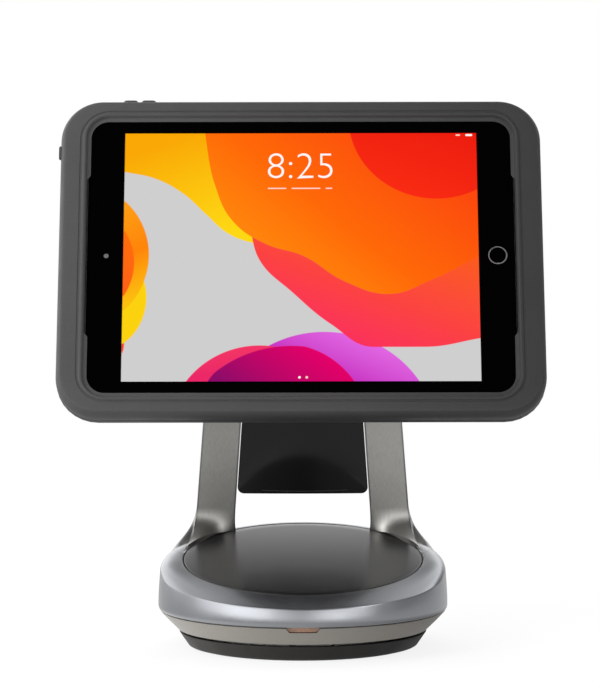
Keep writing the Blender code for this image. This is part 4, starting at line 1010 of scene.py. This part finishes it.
def make_case():
    """The case's front frame: outer wall, rim, groove, bead, sunk ledge and opening."""
    half_width, half_height = CASE_WIDTH / 2, CASE_HEIGHT / 2
    open_x, open_z = OPENING_WIDTH / 2, OPENING_HEIGHT / 2
    wall = ((0.0003, CASE_SPLIT), (0, CASE_SPLIT - 0.0004))
    rings = [
        (half_width - inset, half_height - inset, CASE_CORNER - inset, depth, 0)
        for inset, depth in wall + CASE_RIM
    ]
    rings += [
        (open_x + wider, open_z + higher, corner, CASE_FRONT + depth, 0)
        for wider, higher, corner, depth in CASE_GROOVE_AND_BEAD
    ]
    rings += [
        (open_x + 0.0022, open_z + 0.0024, 0.0127, -0.0011, 0),
        (open_x + 0.0018, open_z + 0.0020, 0.0122, -0.0007, 0.0002),
        (open_x + 0.0004, open_z + 0.0004, OPENING_CORNER + 0.0004, -0.0006, 0.0016),
        (open_x, open_z, OPENING_CORNER, -0.0005, 0.0019),
        (open_x, open_z, OPENING_CORNER, -GAP, 0.0019),
        (*CAVITY, -GAP, 0),
        (*CAVITY, CASE_SPLIT, 0),
    ]
    bm = lofted([case_outline(*ring) for ring in rings], closed_along=True)
    made = piece("case_bezel", bm, "dock", case_rubber, ["case_front_frame"], 42)
    for name in ("volume_up_button", "volume_down_button", "power_button"):
        cut_key_hole(made, NODES[name])


def cut_key_hole(made, key):
    """Opens the case round a round-ended key, with a hair's gap beside it and room to press it."""
    local = [TABLET_FRAME.inverted() @ v.co for v in key.data.vertices]
    gap = Vector((GAP, GAP, GAP))
    low = Vector([min(p[i] for p in local) for i in range(3)]) - gap
    high = Vector([max(p[i] for p in local) for i in range(3)]) + gap
    size, middle = high - low, (low + high) / 2
    outline = pill_outline(0, 0, min(size.x, size.z), size.y, 12)
    if size.z > size.x:
        ends = (low.z - KEY_HOLE_SPARE, high.z + KEY_HOLE_SPARE)
        rings = [[Vector((middle.x + a, middle.y + b, z)) for a, b in outline] for z in ends]
    else:
        ends = (low.x - KEY_HOLE_SPARE, high.x + KEY_HOLE_SPARE)
        rings = [[Vector((x, middle.y + b, middle.z + a)) for a, b in outline] for x in ends]
    bm = lofted(rings)
    bmesh.ops.transform(bm, matrix=TABLET_FRAME, verts=bm.verts)
    cut_with(made, bm)


# ---------------------------------------------------------------- marks on the display


MARK_BACK, MARK_FRONT = 0.00005, 0.00003


def flat_mark(name, outline, look):
    """A thin lit shape just over the display, from points in the display's own plane."""
    rings = [
        [TABLET_FRAME @ Vector((x, y, z)) for x, z in outline] for y in (MARK_BACK, MARK_FRONT)
    ]
    piece(name, lofted(rings), "dock", look, angle=60)


def pill_outline(x, z, width, height, steps=10):
    """A shape with two round ends, lying along x."""
    radius = height / 2
    half = width / 2 - radius
    made = []
    for shift, first in ((half, -90), (-half, 90)):
        for k in range(steps + 1):
            turn = math.radians(first + 180 * k / steps)
            made.append((x + shift + radius * math.cos(turn), z + radius * math.sin(turn)))
    return made


CLOCK_SIZE = 0.0240
CLOCK_THINNER = -0.00045
CLOCK_HEIGHT, DATE_HEIGHT, DOTS_HEIGHT, STATUS_HEIGHT = 0.0560, 0.0425, -0.0755, 0.0765
DATE_BARS = ((-0.0140, 0.0110), (0.0030, 0.0170), (0.0165, 0.0040))


def make_display_marks():
    """A generic clock and plain strokes where a lock screen has its date and symbols."""
    white = bright_look("mark_white", linear(255, 250, 246))
    soft = bright_look("mark_soft", linear(255, 214, 196))
    text = bpy.data.curves.new("clock_digits", "FONT")
    text.body = "8:25"
    text.size = CLOCK_SIZE
    text.align_x = "CENTER"
    text.align_y = "CENTER"
    text.extrude = 0.00001
    text.offset = CLOCK_THINNER
    text.resolution_u = 6
    text.materials.append(white.material)
    clock = bpy.data.objects.new("clock_digits", text)
    bpy.context.scene.collection.objects.link(clock)
    clock_frame = Matrix.Translation((0.0, 0.00004, CLOCK_HEIGHT))
    clock.matrix_world = TABLET_FRAME @ clock_frame @ Matrix.Rotation(math.pi / 2, 4, "X")
    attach(clock, "dock")
    for number, (x, width) in enumerate(DATE_BARS, 1):
        flat_mark(f"date_bar_{number}", pill_outline(x, DATE_HEIGHT, width, 0.0008), soft)
    for number, x, look in ((1, -0.0010, white), (2, 0.0032, soft)):
        flat_mark(f"page_dot_{number}", pill_outline(x, DOTS_HEIGHT, 0.00155, 0.0015), look)
    right = DISPLAY_WIDTH / 2
    flat_mark("status_battery", pill_outline(right - 0.0045, STATUS_HEIGHT, 0.0042, 0.0013), white)
    flat_mark("status_dot", pill_outline(right - 0.0110, STATUS_HEIGHT, 0.0026, 0.0010), soft)


make_base()
LEVELS = arm_levels()
for arm_side, arm_label in ((1, "left"), (-1, "right")):
    make_arm(LEVELS, arm_side, arm_label)
make_neck()
make_case()
make_display_marks()


# ---------------------------------------------------------------- floor, light, camera


FLOOR_LEFT, FLOOR_RIGHT, FLOOR_FAR = 1.15, 0.34, 0.72
ROOM_ROUND = (
    (-180, 1.45), (-160, 1.70), (-133, 1.90), (-102, 1.15), (-78, 2.40), (-52, 3.60),
    (-34, 3.40), (-16, 1.70), (0, 1.12), (14, 2.20), (28, 2.80), (42, 2.00), (64, 0.55),
    (95, 0.28), (122, 0.16), (150, 0.45), (165, 0.95), (180, 1.45),
)
ROOM_PEAK = 3.6


def make_floor():
    """A pale floor: white to the eye, brighter on the left than on the right in reflections."""
    bm = bmesh.new()
    bmesh.ops.create_circle(bm, cap_ends=True, segments=96, radius=14.0)
    mesh = bpy.data.meshes.new("floor")
    bm.to_mesh(mesh)
    bm.free()
    floor = bpy.data.objects.new("floor", mesh)
    bpy.context.scene.collection.objects.link(floor)
    floor.location.z = -0.0002
    look = Look("floor_pale", Roughness=0.9, Specular_IOR_Level=0.05)
    look.colour(look.patched(look.noise(40, 3, 0.5), grey(0.86), grey(0.89)))
    across = look.dot(ACROSS)
    away = look.hypotenuse(across, look.dot(ALONG))
    white = look.emission(WHITE, 1.0)
    near = look.blend(0.84, look.shader.outputs[0], white)
    seen = look.blend(look.span(away, 0.5, 1.5), near, white)
    under = look.span(across, -0.09, 0.09, FLOOR_LEFT, FLOOR_RIGHT)
    far_share = look.span(away, 0.10, 0.16)
    shade = look.plus(look.times(under, look.minus(1.0, far_share)),
                      look.times(far_share, FLOOR_FAR))
    ray = look.tree.nodes.new("ShaderNodeLightPath").outputs["Is Camera Ray"]
    shown = look.blend(ray, look.emission(WHITE, shade), seen)
    look.tree.links.new(shown, look.tree.nodes["Material Output"].inputs["Surface"])
    mesh.materials.append(look.material)


def make_world():
    """A white backdrop to the eye; a room with soft panels round it to reflections."""
    world = bpy.data.worlds.new("studio")
    bpy.context.scene.world = world
    world.use_nodes = True
    tree = world.node_tree
    tree.nodes.clear()
    sky = Nodes(tree, "Generated")
    x, y, z = sky.dot(ACROSS), sky.dot(ALONG), sky.dot(UPWARD)

    turn = sky.span(sky.maths("ARCTAN2", x, sky.times(y, -1.0)), -math.pi, math.pi)
    tones = [((angle + 180) / 360, grey(tone / ROOM_PEAK)) for angle, tone in ROOM_ROUND]
    round_wall = sky.times(sky.ramp(turn, tones, "EASE"), ROOM_PEAK)
    round_wall = sky.times(round_wall, sky.span(z, 0.22, 0.42, 1.0, 0.0))

    behind = sky.span(y, -0.15, 0.35)
    aside = sky.span(sky.maths("ABSOLUTE", x), 0.05, 0.30)
    middle = sky.span(z, 0.35, 0.44, 2.80, 0.12)
    shoulder = sky.span(z, 0.45, 0.75, 1.75, 0.95)
    back_ceiling = sky.plus(sky.times(middle, sky.minus(1.0, aside)), sky.times(aside, shoulder))
    back_ceiling = sky.times(sky.times(back_ceiling, behind), sky.span(z, 0.22, 0.42))

    left = sky.span(x, -0.12, -0.42, 0.0, 1.5)
    right = sky.span(x, 0.12, 0.42, 0.0, 0.35)
    front_ceiling = sky.times(sky.plus(left, right), sky.span(z, 0.25, 0.45))
    front_ceiling = sky.times(front_ceiling, sky.minus(1.0, behind))

    strength = sky.plus(sky.plus(round_wall, back_ceiling), front_ceiling)
    room = sky.emission(WHITE, strength, "ShaderNodeBackground")
    seen = sky.emission(WHITE, 1.0, "ShaderNodeBackground")
    ray = tree.nodes.new("ShaderNodeLightPath").outputs["Is Camera Ray"]
    out = tree.nodes.new("ShaderNodeOutputWorld")
    tree.links.new(sky.blend(ray, room, seen), out.inputs["Surface"])


# name, place, target, width, height, watts, whether metal mirrors the lamp itself
LAMPS = (
    ("key_left", (-1.35, -1.10, 1.00), (0, 0, 0.16), 0.9, 0.9, 19, False),
    ("key_right", (1.60, -1.20, 1.05), (0, 0, 0.16), 0.8, 0.8, 6, True),
    ("overhead", (0.0, 0.65, 1.8), (0, 0, 0.1), 1.2, 0.8, 12, False),
)


def make_lights():
    for name, place, target, width, height, power, mirrored in LAMPS:
        data = bpy.data.lights.new(name, "AREA")
        data.shape = "RECTANGLE"
        data.size, data.size_y = width, height
        data.energy = power
        lamp = bpy.data.objects.new(name, data)
        bpy.context.scene.collection.objects.link(lamp)
        lamp.location = place
        aim = Vector(target) - Vector(place)
        lamp.rotation_euler = aim.to_track_quat("-Z", "Y").to_euler()
        if not mirrored:
            lamp.visible_glossy = False


SENSOR_WIDTH = 36.0
CAMERA_LENS = SENSOR_WIDTH * 3325 / 687  # focal length over the longer side of the picture
CAMERA_PLACE = (-0.00146, -1.941, 0.290)
CAMERA_PITCH = math.radians(90 - 3.331)
CAMERA_ROLL = math.radians(-0.096)


def make_camera():
    data = bpy.data.cameras.new("camera")
    data.sensor_width = SENSOR_WIDTH
    data.lens = CAMERA_LENS
    data.clip_end = 60
    camera = bpy.data.objects.new("camera", data)
    bpy.context.scene.collection.objects.link(camera)
    camera.matrix_world = (
        Matrix.Translation(CAMERA_PLACE)
        @ Matrix.Rotation(CAMERA_PITCH, 4, "X")
        @ Matrix.Rotation(CAMERA_ROLL, 4, "Z")
    )
    bpy.context.scene.camera = camera


make_floor()
make_world()
make_lights()
make_camera()
bpy.context.scene.view_settings.view_transform = "Standard"
